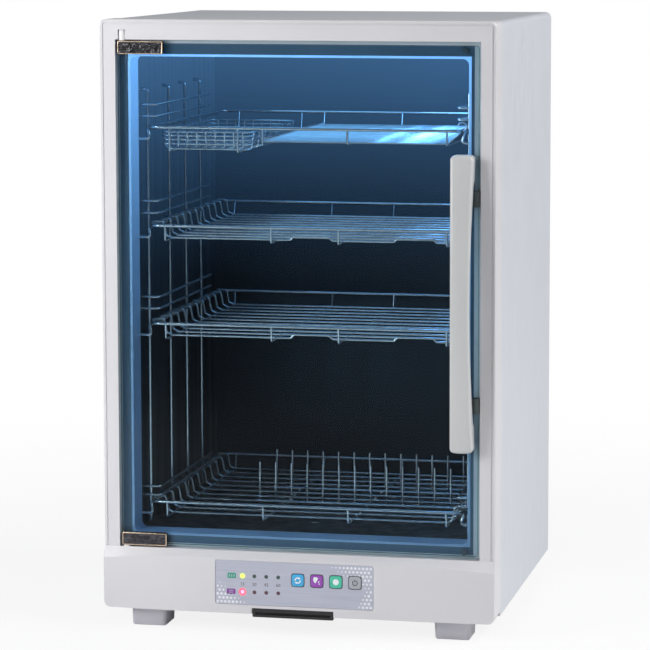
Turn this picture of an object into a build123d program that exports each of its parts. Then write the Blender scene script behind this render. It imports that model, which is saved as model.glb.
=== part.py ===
from build123d import *
import math
import os

os.makedirs("parts", exist_ok=True)

# A counter-top dish steriliser and dryer. X runs to the right, Y to the back, Z up.
# Depths named "..._depth" are measured back from the flat front face of the frame.

# ---- cabinet -----------------------------------------------------------------
body_width = 510.0
body_depth = 460.0
body_height = 756.0
foot_height = 25.0
foot_size = 47.0
foot_side_gap = 32.5
foot_setback = 6.0
foot_corner = 4.0
corner_radius = 8.0
edge_round = 1.5
frame_wall = 3.0
frame_wrap = 42.0
cover_sheet = 0.8
cover_step = 0.6
rear_sheet = 1.0
pan_sheet = 1.2
pan_flange = 14.0
louvre_side_gap = 87.0
louvre_column_gap = 30.0
louvre_tall = 4.0
louvre_rows = 4
louvre_pitch = 22.0
louvre_top_drop = 130.0
louvre_low_lift = 190.0

# ---- moulded front frame -----------------------------------------------------
side_bar = 20.0
top_bar = 25.5
sill_height = 79.0
recess_depth = 12.5
groove_inset = 3.6
groove_width = 2.0
groove_depth = 0.9

# ---- control strip: three facets under a sloped top --------------------------
strip_end_reach = 6.5
strip_mid_reach = 10.0
strip_shoulder = 90.0
strip_end_slope = 14.0
strip_mid_slope = 7.5
panel_width = 207.0
panel_top_gap = 2.45
panel_foot_gap = 11.55
panel_corner = 3.0
panel_x = -2.5
panel_pocket = 1.6
panel_sheet = 1.0
key_size = 16.0
key_corner = 2.0
key_pitch = 24.8
key_first = 5.0
key_lift = 6.0
key_gap = 0.3
key_proud = 0.9
key_travel = 1.0
key_flange = 1.2
lamp_pitch = 15.6
lamp_first = -67.5
lamp_row_up = 8.7
lamp_row_down = -12.0
lamp_lens = 1.7
board_depth = 13.0
board_sheet = 1.6
board_height = 42.0
board_lift = 31.5
board_post = 7.0

# ---- chamber -----------------------------------------------------------------
flange_side = 17.0
flange_top = 21.5
flange_bottom = 18.0
flange_sheet = 2.5
jamb_sheet = 2.0
jamb_end = 46.0
opening_corner = 8.0
bead_width = 3.0
bead_height = 1.2
liner_step = 1.0
liner_sheet = 0.8
chamber_rear_gap = 30.0

# ---- glass door --------------------------------------------------------------
glass_sheet = 5.0
glass_front = 2.0
glass_side_gap = 2.5
glass_end_gap = 4.7
glass_corner = 4.0
clip_width = 59.6
clip_height = 17.0
clip_gap = 1.6
clip_leg = 1.6
clip_fit = 0.05
clip_round = 1.8
pivot_inset = 8.9
pivot_radius = 2.5
pivot_play = 0.05
bush_radius = 4.8
bush_length = 12.4
bush_play = 0.2
seat_gap = 0.3

# ---- handle ------------------------------------------------------------------
handle_length = 373.0
handle_end_width = 29.4
handle_mid_width = 23.8
handle_inset = 18.9
handle_lift = 404.5
handle_end_reach = 20.0
handle_mid_reach = 36.0
handle_foot = 30.0
handle_grip = 12.0
handle_bevel = 2.2
screw_radius = 2.0
screw_head = 4.0
screw_head_height = 2.0
strike_height = 20.0
strike_leg = 12.0
strike_sheet = 1.0
strike_upper = 535.8
strike_lower = 275.5
magnet_width = 9.0
magnet_gap = 0.6
bumper_radius = 4.0
bumper_gap = 0.4

# ---- wire shelves ------------------------------------------------------------
shelf_side_gap = 15.5
rim_front = 45.0
shelf_rear_gap = 25.0
rim_wire = 2.0
base_inset = 19.5
base_drop = 17.0
base_wire = 1.5
cross_pitch = 32.0
runner_half = 44.0
runner_half_low = 56.0
weld = 0.4
wire_gap = 0.15
hump_height = 4.5
hump_left = 4.5
hump_right_inset = 44.0
hump_width = 49.0
shelf_levels = (617.0, 490.3, 363.4, 130.0)
pin_height = 52.0
pin_pitch = 21.5
pin_end_gap = 15.6
pin_count = 13
mesh_gap = 32.5
mesh_pitch = 22.0
mesh_radius = 1.0
cradle_inset = 26.5
cradle_span = 90.0
cradle_drop = 31.5
basket_half = 60.0
basket_offset = 44.0
basket_length = 250.0
basket_start = 60.0
basket_depth = 22.0
basket_wire = 1.0
basket_pitch = 36.0

# ---- side racks --------------------------------------------------------------
post_wire = 2.0
post_depths = (60.5, 160.0, 240.0, 316.0)
post_top = 665.0
post_foot = 6.0
bearer_wire = 2.0
bearer_side = 3.1
bearer_gap = 0.3
guard_wire = 1.6
guard_stand = 23.0
guard_steps = ((28.4, 13.6), (30.7, 15.2), (33.0, 18.0), (17.8, 6.6))

# ---- lamp, heater and fan ----------------------------------------------------
uv_side_gap = 124.0
uv_mouth = 72.0
uv_crown = 40.0
uv_length = 250.0
uv_start = 105.0
uv_height = 31.0
uv_radius = 7.75
tube_inset = 5.0
socket_length = 14.0
fan_side_gap = 14.7
fan_depth = 320.0
fan_size = 92.0
fan_frame_height = 25.0
fan_bore = 43.0
fan_hub = 18.0
fan_tip = 40.5
fan_pin = 2.0
fan_play = 0.05
blade_count = 7
blade_sheet = 1.6
blade_chord = 17.0
blade_pitch = 38.0
duct_sheet = 1.5
heater_height = 18.0
heater_lift = 24.0
heater_fins = 9
grille_edge = 6.0
grille_sheet = 1.5
grille_slots = 7

# ---- drip tray ---------------------------------------------------------------
tray_x = -4.5
tray_lip_width = 105.6
tray_lip_height = 11.0
tray_lip_sheet = 4.0
tray_lip_front = -8.5
tray_drop = 4.0
tray_length = 235.0
tray_wall = 1.8
tunnel_height = 9.6
tunnel_gap = 1.8
ledge_reach = 6.0
ledge_gap = 0.6
runner_sheet = 1.2
drain_depth = 120.0
drain_radius = 6.0
drain_wall = 1.6
gland_side_gap = 65.0
gland_lift = 42.0
gland_radius = 8.0
gland_reach = 8.0

# ---- derived lines -----------------------------------------------------------
half_w = body_width / 2
reach = handle_mid_reach - glass_front
front_y = (reach - body_depth - gland_reach) / 2
low = foot_height
high = foot_height + body_height
recess_half = half_w - side_bar
recess_low = low + sill_height
recess_high = high - top_bar
recess_mid = (recess_low + recess_high) / 2
recess_tall = recess_high - recess_low
opening_half = recess_half - flange_side
opening_low = recess_low + flange_bottom
opening_high = recess_high - flange_top
opening_mid = (opening_low + opening_high) / 2
opening_tall = opening_high - opening_low
glass_back = glass_front + glass_sheet
glass_mid = glass_front + glass_sheet / 2
glass_half = recess_half - glass_side_gap
glass_low = recess_low + glass_end_gap
glass_high = recess_high - glass_end_gap
pivot_x = -recess_half + pivot_inset
liner_half = opening_half + liner_step
liner_low = opening_low - liner_step
liner_high = opening_high + liner_step
floor_under = liner_low - liner_sheet
foot_x = half_w - foot_side_gap - foot_size / 2
louvre_width = half_w - louvre_side_gap - louvre_column_gap / 2
gland_x = gland_side_gap - half_w
strip_facet = half_w - strip_shoulder
strip_end_crease = sill_height - strip_end_slope
strip_mid_crease = sill_height - strip_mid_slope
panel_height = strip_mid_crease - panel_top_gap - panel_foot_gap
panel_lift = panel_foot_gap + panel_height / 2
chamber_end = body_depth - chamber_rear_gap
handle_centre = glass_half - handle_inset
rim_half = liner_half - shelf_side_gap
rim_length = chamber_end - rim_front - shelf_rear_gap
base_half = rim_half - base_inset
hump_right = base_half - hump_right_inset
pin_first = base_half - pin_end_gap - (pin_count - 1) * pin_pitch
cradle_left = cradle_inset - rim_half
cradle_right = cradle_left + cradle_span
mesh_left = cradle_right + mesh_gap
basket_centre = cradle_left + basket_offset
uv_x = liner_half - uv_side_gap
tunnel_half = tray_lip_width / 2 + tunnel_gap
fan_x = tray_x + tunnel_half + pan_sheet + fan_side_gap + fan_size / 2


def upright(depth):
    """Plane parallel to the front face, a given depth behind it; X right and Z up."""
    return Plane.XZ.offset(-(front_y + depth))


def level(height):
    """Horizontal plane at a height above the ground."""
    return Plane.XY.offset(height)


def rod(points, radius, sides, across):
    """A wire through the points with mitred bends; the radius is that of its flats."""
    start = Vector(points[0])
    heading = Vector(points[1]) - start
    with BuildPart() as wire:
        with BuildLine():
            Polyline(*points)
        with BuildSketch(Plane(origin=start, x_dir=across, z_dir=heading)):
            RegularPolygon(radius, sides, major_radius=False, rotation=0 if sides == 6 else 180 / sides)
        sweep(transition=Transition.RIGHT)
    return wire.part


# ==============================================================================
# Moulded front frame with the control strip
# ==============================================================================
strip_left = (
    (front_y, recess_low),
    (front_y - strip_end_reach, low + strip_end_crease),
    (front_y - strip_end_reach, low),
    (front_y + frame_wall, low),
    (front_y + frame_wall, recess_low),
)
strip_middle = (
    (front_y, recess_low),
    (front_y - strip_mid_reach, low + strip_mid_crease),
    (front_y - strip_mid_reach, low),
    (front_y + frame_wall, low),
    (front_y + frame_wall, recess_low),
)
panel_z = low + panel_lift
key_z = panel_z + key_lift
key_places = [(panel_x + key_first + index * key_pitch, key_z) for index in range(4)]
lamp_places = [(panel_x + lamp_first + index * lamp_pitch, panel_z) for index in range(4)]
notch_half = tray_lip_width / 2 + 0.6
notch_top = low - tray_drop + tray_lip_height + 0.8
key_window = 3 * key_pitch + key_size + 2 * key_flange + 1.0
key_mid = panel_x + key_first + 1.5 * key_pitch
lamp_window = 3 * lamp_pitch + 12.0
lamp_mid = panel_x + lamp_first + 1.5 * lamp_pitch

with BuildPart() as strip:
    with BuildSketch(Plane.YZ.offset(strip_facet)):
        Polygon(*strip_middle, align=None)
    with BuildSketch(Plane.YZ.offset(half_w)):
        Polygon(*strip_left, align=None)
    loft(ruled=True)
    mirror(about=Plane.YZ)
    with BuildSketch(Plane.YZ.offset(-strip_facet)):
        Polygon(*strip_middle, align=None)
    extrude(amount=2 * strip_facet)
    with BuildSketch(upright(-2 * strip_mid_reach)):
        with Locations((0, low + body_height / 2)):
            RectangleRounded(body_width, body_height, corner_radius)
    extrude(amount=-4 * strip_mid_reach, mode=Mode.INTERSECT)

with BuildPart() as front_frame:
    with BuildSketch(upright(0)):
        with Locations((0, low + body_height / 2)):
            RectangleRounded(body_width, body_height, corner_radius)
    extrude(amount=-frame_wrap)
    chamfer(front_frame.faces().sort_by(Axis.Y)[0].outer_wire().edges(), edge_round)
    # groove that sets off the rounded bead along the sides and top
    with BuildSketch(upright(0)):
        with Locations((0, low + body_height / 2)):
            RectangleRounded(
                body_width - 2 * groove_inset, body_height - 2 * groove_inset, corner_radius - groove_inset
            )
            RectangleRounded(
                body_width - 2 * (groove_inset + groove_width),
                body_height - 2 * (groove_inset + groove_width),
                corner_radius - groove_inset - groove_width,
                mode=Mode.SUBTRACT,
            )
    extrude(amount=-groove_depth, mode=Mode.SUBTRACT)
    add(strip.part)
    # hollow back of the frame
    with BuildSketch(upright(frame_wall)):
        with Locations((0, low + body_height / 2)):
            RectangleRounded(
                body_width - 2 * frame_wall, body_height - 2 * frame_wall, corner_radius - frame_wall
            )
    extrude(amount=-frame_wrap, mode=Mode.SUBTRACT)
    # return walls round the door recess
    with BuildSketch(upright(frame_wall / 2)):
        with Locations((0, recess_mid)):
            Rectangle(2 * (recess_half + frame_wall), recess_tall + 2 * frame_wall)
    extrude(amount=-(recess_depth + flange_sheet - frame_wall / 2))
    # solid corners that carry the two door pivots
    with BuildSketch(upright(frame_wall / 2)):
        with Locations((pivot_x, recess_high + bush_length / 2), (pivot_x, recess_low - bush_length / 2)):
            Rectangle(2 * bush_radius + 2 * frame_wall, bush_length + frame_wall)
    extrude(amount=-(recess_depth - frame_wall / 2))
    with BuildSketch(upright(-1)):
        with Locations((0, recess_mid)):
            Rectangle(2 * recess_half, recess_tall)
    extrude(amount=-(frame_wrap + 2), mode=Mode.SUBTRACT)
    # open slot for the upper pivot bush, bore for the lower pin
    with BuildSketch(level(recess_high - 1)):
        with Locations((pivot_x, front_y + glass_mid)):
            RegularPolygon(bush_radius + bush_play, 12, major_radius=False)
        with Locations((pivot_x, front_y + glass_mid / 2 - 1)):
            Rectangle(2 * (bush_radius + bush_play), glass_mid + 2)
    extrude(amount=bush_length + 1, mode=Mode.SUBTRACT)
    with BuildSketch(level(recess_low + 1)):
        with Locations((pivot_x, front_y + glass_mid)):
            Circle(pivot_radius)
    extrude(amount=-(bush_length - 2), mode=Mode.SUBTRACT)
    # space behind the control strip
    with BuildSketch(upright(frame_wall - strip_end_reach)):
        with Locations((0, low + (frame_wall + strip_end_crease - 4) / 2)):
            Rectangle(body_width - 4 * frame_wall, strip_end_crease - 4 - frame_wall)
    extrude(amount=-(strip_end_reach + 1), mode=Mode.SUBTRACT)
    with BuildSketch(upright(frame_wall - strip_mid_reach + panel_pocket)):
        with Locations((0, low + (frame_wall + strip_end_crease) / 2)):
            Rectangle(2 * strip_facet - 4 * frame_wall, strip_end_crease - frame_wall)
    extrude(amount=-(strip_mid_reach + 1), mode=Mode.SUBTRACT)
    # panel pocket, key window, lamp window
    with BuildSketch(upright(-strip_mid_reach)):
        with Locations((panel_x, panel_z)):
            RectangleRounded(panel_width, panel_height, panel_corner)
    extrude(amount=-panel_pocket, mode=Mode.SUBTRACT)
    with BuildSketch(upright(-strip_mid_reach)):
        with Locations((key_mid, key_z)):
            Rectangle(key_window, key_size + 2 * key_flange + 1)
        with Locations((lamp_mid, panel_z + (lamp_row_up + lamp_row_down) / 2)):
            Rectangle(lamp_window, lamp_row_up - lamp_row_down + 10)
    extrude(amount=-(strip_mid_reach + frame_wall), mode=Mode.SUBTRACT)
    # posts that carry the control board
    with BuildSketch(upright(frame_wall - strip_mid_reach)):
        with Locations((panel_x, low + board_lift)):
            with GridLocations(panel_width - 18, board_height - board_post, 2, 2):
                Rectangle(board_post, board_post)
    extrude(amount=-(board_depth + strip_mid_reach - frame_wall))
    # notch for the drip tray
    with BuildSketch(upright(-2 * strip_mid_reach)):
        with Locations((tray_x, (low - 5 + notch_top) / 2)):
            Rectangle(2 * notch_half, notch_top - low + 5)
    extrude(amount=-(frame_wrap + 2 * strip_mid_reach + 2), mode=Mode.SUBTRACT)
front_frame.part.label = "front_frame"
export_step(front_frame.part, "parts/front_frame.step")

# ==============================================================================
# Sheet-metal cover, back, bottom and feet
# ==============================================================================
cover_half = half_w - cover_step
cover_high = high - cover_step
cover_end = body_depth - rear_sheet

with BuildPart() as outer_cover:
    with BuildSketch(upright(frame_wrap)):
        with Locations((0, low + (body_height - cover_step) / 2)):
            RectangleRounded(2 * cover_half, body_height - cover_step, corner_radius)
            RectangleRounded(
                2 * (cover_half - cover_sheet),
                body_height - cover_step - 2 * cover_sheet,
                corner_radius - cover_sheet,
                mode=Mode.SUBTRACT,
            )
        with Locations((0, low + corner_radius / 2)):
            Rectangle(2 * cover_half, corner_radius, mode=Mode.SUBTRACT)
        with GridLocations(2 * cover_half - cover_sheet, 0, 2, 1):
            with Locations((0, low + corner_radius / 2)):
                Rectangle(cover_sheet, corner_radius)
    extrude(amount=-(cover_end - frame_wrap))
outer_cover.part.label = "outer_cover"
export_step(outer_cover.part, "parts/outer_cover.step")

with BuildPart() as rear_panel:
    with BuildSketch(upright(cover_end)):
        with Locations((0, low + (body_height - cover_step) / 2)):
            RectangleRounded(2 * cover_half, body_height - cover_step, corner_radius)
        with Locations((0, high - louvre_top_drop), (0, low + louvre_low_lift)):
            with GridLocations(louvre_width + louvre_column_gap, louvre_pitch, 2, louvre_rows):
                Rectangle(louvre_width, louvre_tall, mode=Mode.SUBTRACT)
        with Locations((gland_x, low + gland_lift)):
            RegularPolygon(gland_radius, 10, mode=Mode.SUBTRACT)
    extrude(amount=-rear_sheet)
rear_panel.part.label = "rear_panel"
export_step(rear_panel.part, "parts/rear_panel.step")

gland_head = gland_radius + 3
with BuildPart() as cord_gland:
    with BuildSketch(upright(cover_end - 3)):
        with Locations((gland_x, low + gland_lift)):
            RegularPolygon(gland_head, 8)
            RegularPolygon(gland_radius * 0.45, 10, mode=Mode.SUBTRACT)
    extrude(amount=-3)
    with BuildSketch(upright(cover_end)):
        with Locations((gland_x, low + gland_lift)):
            RegularPolygon(gland_radius, 10)
            RegularPolygon(gland_radius * 0.45, 10, mode=Mode.SUBTRACT)
    extrude(amount=-(rear_sheet + gland_reach))
cord_gland.part.label = "cord_gland"
export_step(cord_gland.part, "parts/cord_gland.step")

pan_half = cover_half - cover_sheet - 0.2
pan_start = frame_wrap + 0.5
fan_y = front_y + fan_depth
drain_y = front_y + drain_depth
with BuildPart() as base_pan:
    with BuildSketch(upright(pan_start)):
        with Locations((0, low + pan_flange / 2)):
            Rectangle(2 * pan_half, pan_flange)
            with Locations((0, pan_sheet)):
                Rectangle(2 * (pan_half - pan_sheet), pan_flange, mode=Mode.SUBTRACT)
        with Locations((tray_x, low + (tunnel_height + pan_sheet) / 2)):
            Rectangle(2 * (tunnel_half + pan_sheet), tunnel_height + pan_sheet)
        with Locations((tray_x, low + tunnel_height / 2)):
            Rectangle(2 * tunnel_half, tunnel_height, mode=Mode.SUBTRACT)
    extrude(amount=-(cover_end - pan_start))
    with BuildSketch(level(low - 1)):
        with Locations((fan_x, fan_y)):
            with GridLocations(0, 12, 1, 6):
                Rectangle(fan_size - 16, 6)
    extrude(amount=pan_sheet + 2, mode=Mode.SUBTRACT)
    with BuildSketch(level(low + tunnel_height - 1)):
        with Locations((tray_x, drain_y)):
            Rectangle(2 * (drain_radius + drain_wall) + 2, 2 * (drain_radius + drain_wall) + 2)
    extrude(amount=pan_sheet + 2, mode=Mode.SUBTRACT)
base_pan.part.label = "base_pan"
export_step(base_pan.part, "parts/base_pan.step")

foot_y_front = front_y + foot_setback + foot_size / 2
foot_y_rear = front_y + body_depth - foot_setback - foot_size / 2
foot_places = {
    "foot_front_left": (-foot_x, foot_y_front),
    "foot_front_right": (foot_x, foot_y_front),
    "foot_rear_left": (-foot_x, foot_y_rear),
    "foot_rear_right": (foot_x, foot_y_rear),
}
for foot_name, foot_place in foot_places.items():
    with BuildPart() as foot:
        with BuildSketch(level(0)):
            with Locations(foot_place):
                chamfer(Rectangle(foot_size - 2, foot_size - 2).vertices(), foot_corner)
        with BuildSketch(level(foot_height)):
            with Locations(foot_place):
                chamfer(Rectangle(foot_size, foot_size).vertices(), foot_corner)
        loft(ruled=True)
    foot.part.label = foot_name
    export_step(foot.part, "parts/" + foot_name + ".step")

# ==============================================================================
# Chamber: slate flange with jamb, and the stainless walls
# ==============================================================================
with BuildPart() as chamber_flange:
    with BuildSketch(upright(recess_depth)):
        with Locations((0, recess_mid)):
            Rectangle(2 * recess_half, recess_tall)
    extrude(amount=-flange_sheet)
    with BuildSketch(upright(recess_depth - bead_height)):
        with Locations((0, opening_mid)):
            RectangleRounded(
                2 * (opening_half + bead_width), opening_tall + 2 * bead_width, opening_corner + bead_width
            )
    extrude(amount=-bead_height)
    with BuildSketch(upright(recess_depth)):
        with Locations((0, opening_mid)):
            RectangleRounded(
                2 * (opening_half + jamb_sheet), opening_tall + 2 * jamb_sheet, opening_corner + jamb_sheet
            )
    extrude(amount=-(jamb_end - recess_depth))
    with BuildSketch(upright(0)):
        with Locations((0, opening_mid)):
            RectangleRounded(2 * opening_half, opening_tall, opening_corner)
    extrude(amount=-(jamb_end + 1), mode=Mode.SUBTRACT)
chamber_flange.part.label = "chamber_flange"
export_step(chamber_flange.part, "parts/chamber_flange.step")

liner_tall = liner_high - liner_low
liner_deep = chamber_end - jamb_end
uv_mid = uv_start + uv_length / 2
grille_size = fan_size - 2 * grille_edge
for wall_name, side in (("liner_left", -1), ("liner_right", 1)):
    with BuildPart() as liner_wall:
        with BuildSketch(upright(jamb_end)):
            with Locations((side * (liner_half + liner_sheet / 2), opening_mid)):
                Rectangle(liner_sheet, liner_tall + 2 * liner_sheet)
        extrude(amount=-(liner_deep + liner_sheet))
    liner_wall.part.label = wall_name
    export_step(liner_wall.part, "parts/" + wall_name + ".step")

with BuildPart() as liner_back:
    with BuildSketch(upright(chamber_end)):
        with Locations((0, opening_mid)):
            Rectangle(2 * liner_half, liner_tall + 2 * liner_sheet)
    extrude(amount=-liner_sheet)
liner_back.part.label = "liner_back"
export_step(liner_back.part, "parts/liner_back.step")

with BuildPart() as liner_ceiling:
    with BuildSketch(upright(jamb_end)):
        with Locations((0, liner_high + liner_sheet / 2)):
            Rectangle(2 * liner_half, liner_sheet)
    extrude(amount=-liner_deep)
    with BuildSketch(level(liner_high - 1)):
        with Locations((uv_x, front_y + uv_mid)):
            Rectangle(uv_mouth, uv_length)
    extrude(amount=liner_sheet + 2, mode=Mode.SUBTRACT)
liner_ceiling.part.label = "liner_ceiling"
export_step(liner_ceiling.part, "parts/liner_ceiling.step")

with BuildPart() as liner_floor:
    with BuildSketch(upright(jamb_end)):
        with Locations((0, liner_low - liner_sheet / 2)):
            Rectangle(2 * liner_half, liner_sheet)
    extrude(amount=-liner_deep)
    with BuildSketch(level(floor_under - 1)):
        with Locations((fan_x, fan_y)):
            Rectangle(grille_size, grille_size)
        with Locations((tray_x, drain_y)):
            RegularPolygon(drain_radius, 8)
    extrude(amount=liner_sheet + 2, mode=Mode.SUBTRACT)
liner_floor.part.label = "liner_floor"
export_step(liner_floor.part, "parts/liner_floor.step")

# ==============================================================================
# Ultraviolet lamp in its trough above the ceiling
# ==============================================================================
trough_low = liner_high + liner_sheet
uv_z = trough_low + uv_height / 2 - 2
with BuildPart() as lamp_reflector:
    with BuildSketch(upright(uv_start - liner_sheet)):
        with Locations((uv_x, trough_low)):
            Polygon(
                (-uv_mouth / 2 - liner_sheet, 0),
                (uv_mouth / 2 + liner_sheet, 0),
                (uv_crown / 2 + liner_sheet, uv_height),
                (-uv_crown / 2 - liner_sheet, uv_height),
                align=None,
            )
    extrude(amount=-(uv_length + 2 * liner_sheet))
    with BuildSketch(upright(uv_start)):
        with Locations((uv_x, trough_low - liner_sheet)):
            Polygon(
                (-uv_mouth / 2, 0),
                (uv_mouth / 2, 0),
                (uv_crown / 2, uv_height),
                (-uv_crown / 2, uv_height),
                align=None,
            )
    extrude(amount=-uv_length, mode=Mode.SUBTRACT)
lamp_reflector.part.label = "lamp_reflector"
export_step(lamp_reflector.part, "parts/lamp_reflector.step")

with BuildPart() as uv_tube:
    with BuildSketch(upright(uv_start + tube_inset)):
        with Locations((uv_x, uv_z)):
            RegularPolygon(uv_radius, 16)
    extrude(amount=-(uv_length - 2 * tube_inset))
uv_tube.part.label = "uv_tube"
export_step(uv_tube.part, "parts/uv_tube.step")

socket_starts = {
    "lamp_socket_front": uv_start,
    "lamp_socket_rear": uv_start + uv_length - socket_length,
}
for socket_name, socket_start in socket_starts.items():
    with BuildPart() as socket:
        with BuildSketch(upright(socket_start)):
            with Locations((uv_x, (uv_z - uv_radius - 2 + trough_low + uv_height - liner_sheet) / 2)):
                Rectangle(uv_crown * 0.6, trough_low + uv_height - liner_sheet - uv_z + uv_radius + 2)
        extrude(amount=-socket_length)
        with BuildSketch(upright(uv_start + tube_inset)):
            with Locations((uv_x, uv_z)):
                RegularPolygon(uv_radius, 16)
        extrude(amount=-(uv_length - 2 * tube_inset), mode=Mode.SUBTRACT)
    socket.part.label = socket_name
    export_step(socket.part, "parts/" + socket_name + ".step")

# ==============================================================================
# Hot-air unit under the floor: fan, duct, heater and floor grille
# ==============================================================================
fan_low = low + pan_sheet
duct_low = fan_low + fan_frame_height
with BuildPart() as fan_housing:
    with BuildSketch(level(fan_low)):
        with Locations((fan_x, fan_y)):
            Rectangle(fan_size, fan_size)
            RegularPolygon(fan_bore, 24, major_radius=False, mode=Mode.SUBTRACT)
    extrude(amount=fan_frame_height)
    with BuildSketch(level(fan_low)):
        with Locations((fan_x, fan_y)):
            RegularPolygon(fan_hub, 16)
            with PolarLocations((fan_hub + fan_bore) / 2, 3):
                Rectangle(fan_bore - fan_hub + 4, 5)
    extrude(amount=3)
    with BuildSketch(level(fan_low)):
        with Locations((fan_x, fan_y)):
            Circle(fan_pin)
    extrude(amount=fan_frame_height - 8)
fan_housing.part.label = "fan_housing"
export_step(fan_housing.part, "parts/fan_housing.step")

rotor_low = fan_low + 3 + seat_gap
rotor_height = fan_frame_height - 6
blade_rise = rotor_height / 2
with BuildPart() as blade:
    with BuildSketch(Plane(origin=(fan_hub - 1.5, 0, blade_rise), x_dir=(0, 1, 0), z_dir=(1, 0, 0))):
        Rectangle(blade_chord, blade_sheet, rotation=blade_pitch)
    extrude(amount=fan_tip - fan_hub + 1.5)
with BuildPart() as fan_rotor:
    with BuildSketch(level(rotor_low)):
        with Locations((fan_x, fan_y)):
            RegularPolygon(fan_hub, 21)
    extrude(amount=rotor_height)
    with Locations((fan_x, fan_y, rotor_low)):
        with PolarLocations(0, blade_count):
            add(blade.part)
    with BuildSketch(level(rotor_low)):
        with Locations((fan_x, fan_y)):
            Circle(fan_pin + fan_play)
    extrude(amount=fan_frame_height - 11 + 0.5, mode=Mode.SUBTRACT)
fan_rotor.part.label = "fan_rotor"
export_step(fan_rotor.part, "parts/fan_rotor.step")

with BuildPart() as air_duct:
    with BuildSketch(level(duct_low)):
        with Locations((fan_x, fan_y)):
            Rectangle(fan_size, fan_size)
            Rectangle(fan_size - 2 * duct_sheet, fan_size - 2 * duct_sheet, mode=Mode.SUBTRACT)
    extrude(amount=floor_under - duct_low)
air_duct.part.label = "air_duct"
export_step(air_duct.part, "parts/air_duct.step")

heater_span = fan_size - 2 * duct_sheet
fin_pitch = (heater_span - 8) / heater_fins
with BuildPart() as ptc_heater:
    with BuildSketch(level(duct_low + heater_lift)):
        with Locations((fan_x, fan_y)):
            Rectangle(heater_span, heater_span)
            with GridLocations(0, fin_pitch, 1, heater_fins):
                Rectangle(heater_span - 12, fin_pitch - 2.5, mode=Mode.SUBTRACT)
    extrude(amount=heater_height)
ptc_heater.part.label = "ptc_heater"
export_step(ptc_heater.part, "parts/ptc_heater.step")

slot_pitch = (grille_size - 8) / grille_slots
with BuildPart() as floor_grille:
    with BuildSketch(level(liner_low)):
        with Locations((fan_x, fan_y)):
            Rectangle(fan_size, fan_size)
            with GridLocations(0, slot_pitch, 1, grille_slots):
                Rectangle(grille_size - 10, slot_pitch - 4, mode=Mode.SUBTRACT)
    extrude(amount=grille_sheet)
floor_grille.part.label = "floor_grille"
export_step(floor_grille.part, "parts/floor_grille.step")

# ==============================================================================
# Drain, drip tray and its runners
# ==============================================================================
tray_floor = low - tray_drop
tray_rim = tray_floor + tray_lip_height
with BuildPart() as drain_spout:
    with BuildSketch(level(tray_rim + 0.6)):
        with Locations((tray_x, drain_y)):
            RegularPolygon(drain_radius + drain_wall, 10)
    extrude(amount=floor_under - tray_rim - 0.6)
    with BuildSketch(level(floor_under - 1.5)):
        with Locations((tray_x, drain_y)):
            RegularPolygon(drain_radius + 4 * drain_wall, 10)
    extrude(amount=1.5)
    with BuildSketch(level(tray_rim)):
        with Locations((tray_x, drain_y)):
            RegularPolygon(drain_radius, 10)
    extrude(amount=floor_under - tray_rim + 1, mode=Mode.SUBTRACT)
drain_spout.part.label = "drain_spout"
export_step(drain_spout.part, "parts/drain_spout.step")

ledge_half = tunnel_half - runner_sheet - ledge_gap
tray_half = tunnel_half - ledge_reach - ledge_gap
ledge_low = tray_rim - tray_wall
runner_top = ledge_low - seat_gap
runner_names = {"tray_runner_left": -1, "tray_runner_right": 1}
for runner_name, side in runner_names.items():
    with BuildPart() as runner:
        with BuildSketch(upright(pan_start)):
            with Locations((tray_x + side * (tunnel_half - runner_sheet / 2), low + tunnel_height / 2)):
                Rectangle(runner_sheet, tunnel_height)
            with Locations((tray_x + side * (tunnel_half - ledge_reach / 2), runner_top - runner_sheet / 2)):
                Rectangle(ledge_reach, runner_sheet)
        extrude(amount=-(tray_length + 10 - pan_start))
    runner.part.label = runner_name
    export_step(runner.part, "parts/" + runner_name + ".step")

with BuildPart() as drip_tray:
    with BuildSketch(upright(tray_lip_front)):
        with Locations((tray_x, tray_floor + tray_lip_height / 2)):
            RectangleRounded(tray_lip_width, tray_lip_height, 1.5)
    extrude(amount=-tray_lip_sheet)
    with BuildSketch(level(tray_floor)):
        with Locations((tray_x, front_y + (tray_lip_front + tray_length) / 2)):
            Rectangle(2 * tray_half, tray_length - tray_lip_front)
    extrude(amount=tray_lip_height)
    with BuildSketch(level(ledge_low)):
        with Locations((tray_x, front_y + (tray_lip_front + tray_length) / 2)):
            Rectangle(2 * ledge_half, tray_length - tray_lip_front)
    extrude(amount=tray_wall)
    with BuildSketch(level(tray_floor + tray_wall)):
        with Locations((tray_x, front_y + (tray_lip_front + tray_lip_sheet + tray_length - tray_wall) / 2)):
            Rectangle(2 * (tray_half - tray_wall), tray_length - tray_wall - tray_lip_front - tray_lip_sheet)
    extrude(amount=tray_lip_height, mode=Mode.SUBTRACT)
    # finger groove across the lip
    with BuildSketch(Plane.YZ.offset(tray_x - tray_lip_width / 2 + 4)):
        with Locations((front_y + tray_lip_front, tray_floor + tray_lip_height * 0.45)):
            RegularPolygon(1.6, 8)
    extrude(amount=tray_lip_width - 8, mode=Mode.SUBTRACT)
drip_tray.part.label = "drip_tray"
export_step(drip_tray.part, "parts/drip_tray.step")

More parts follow.
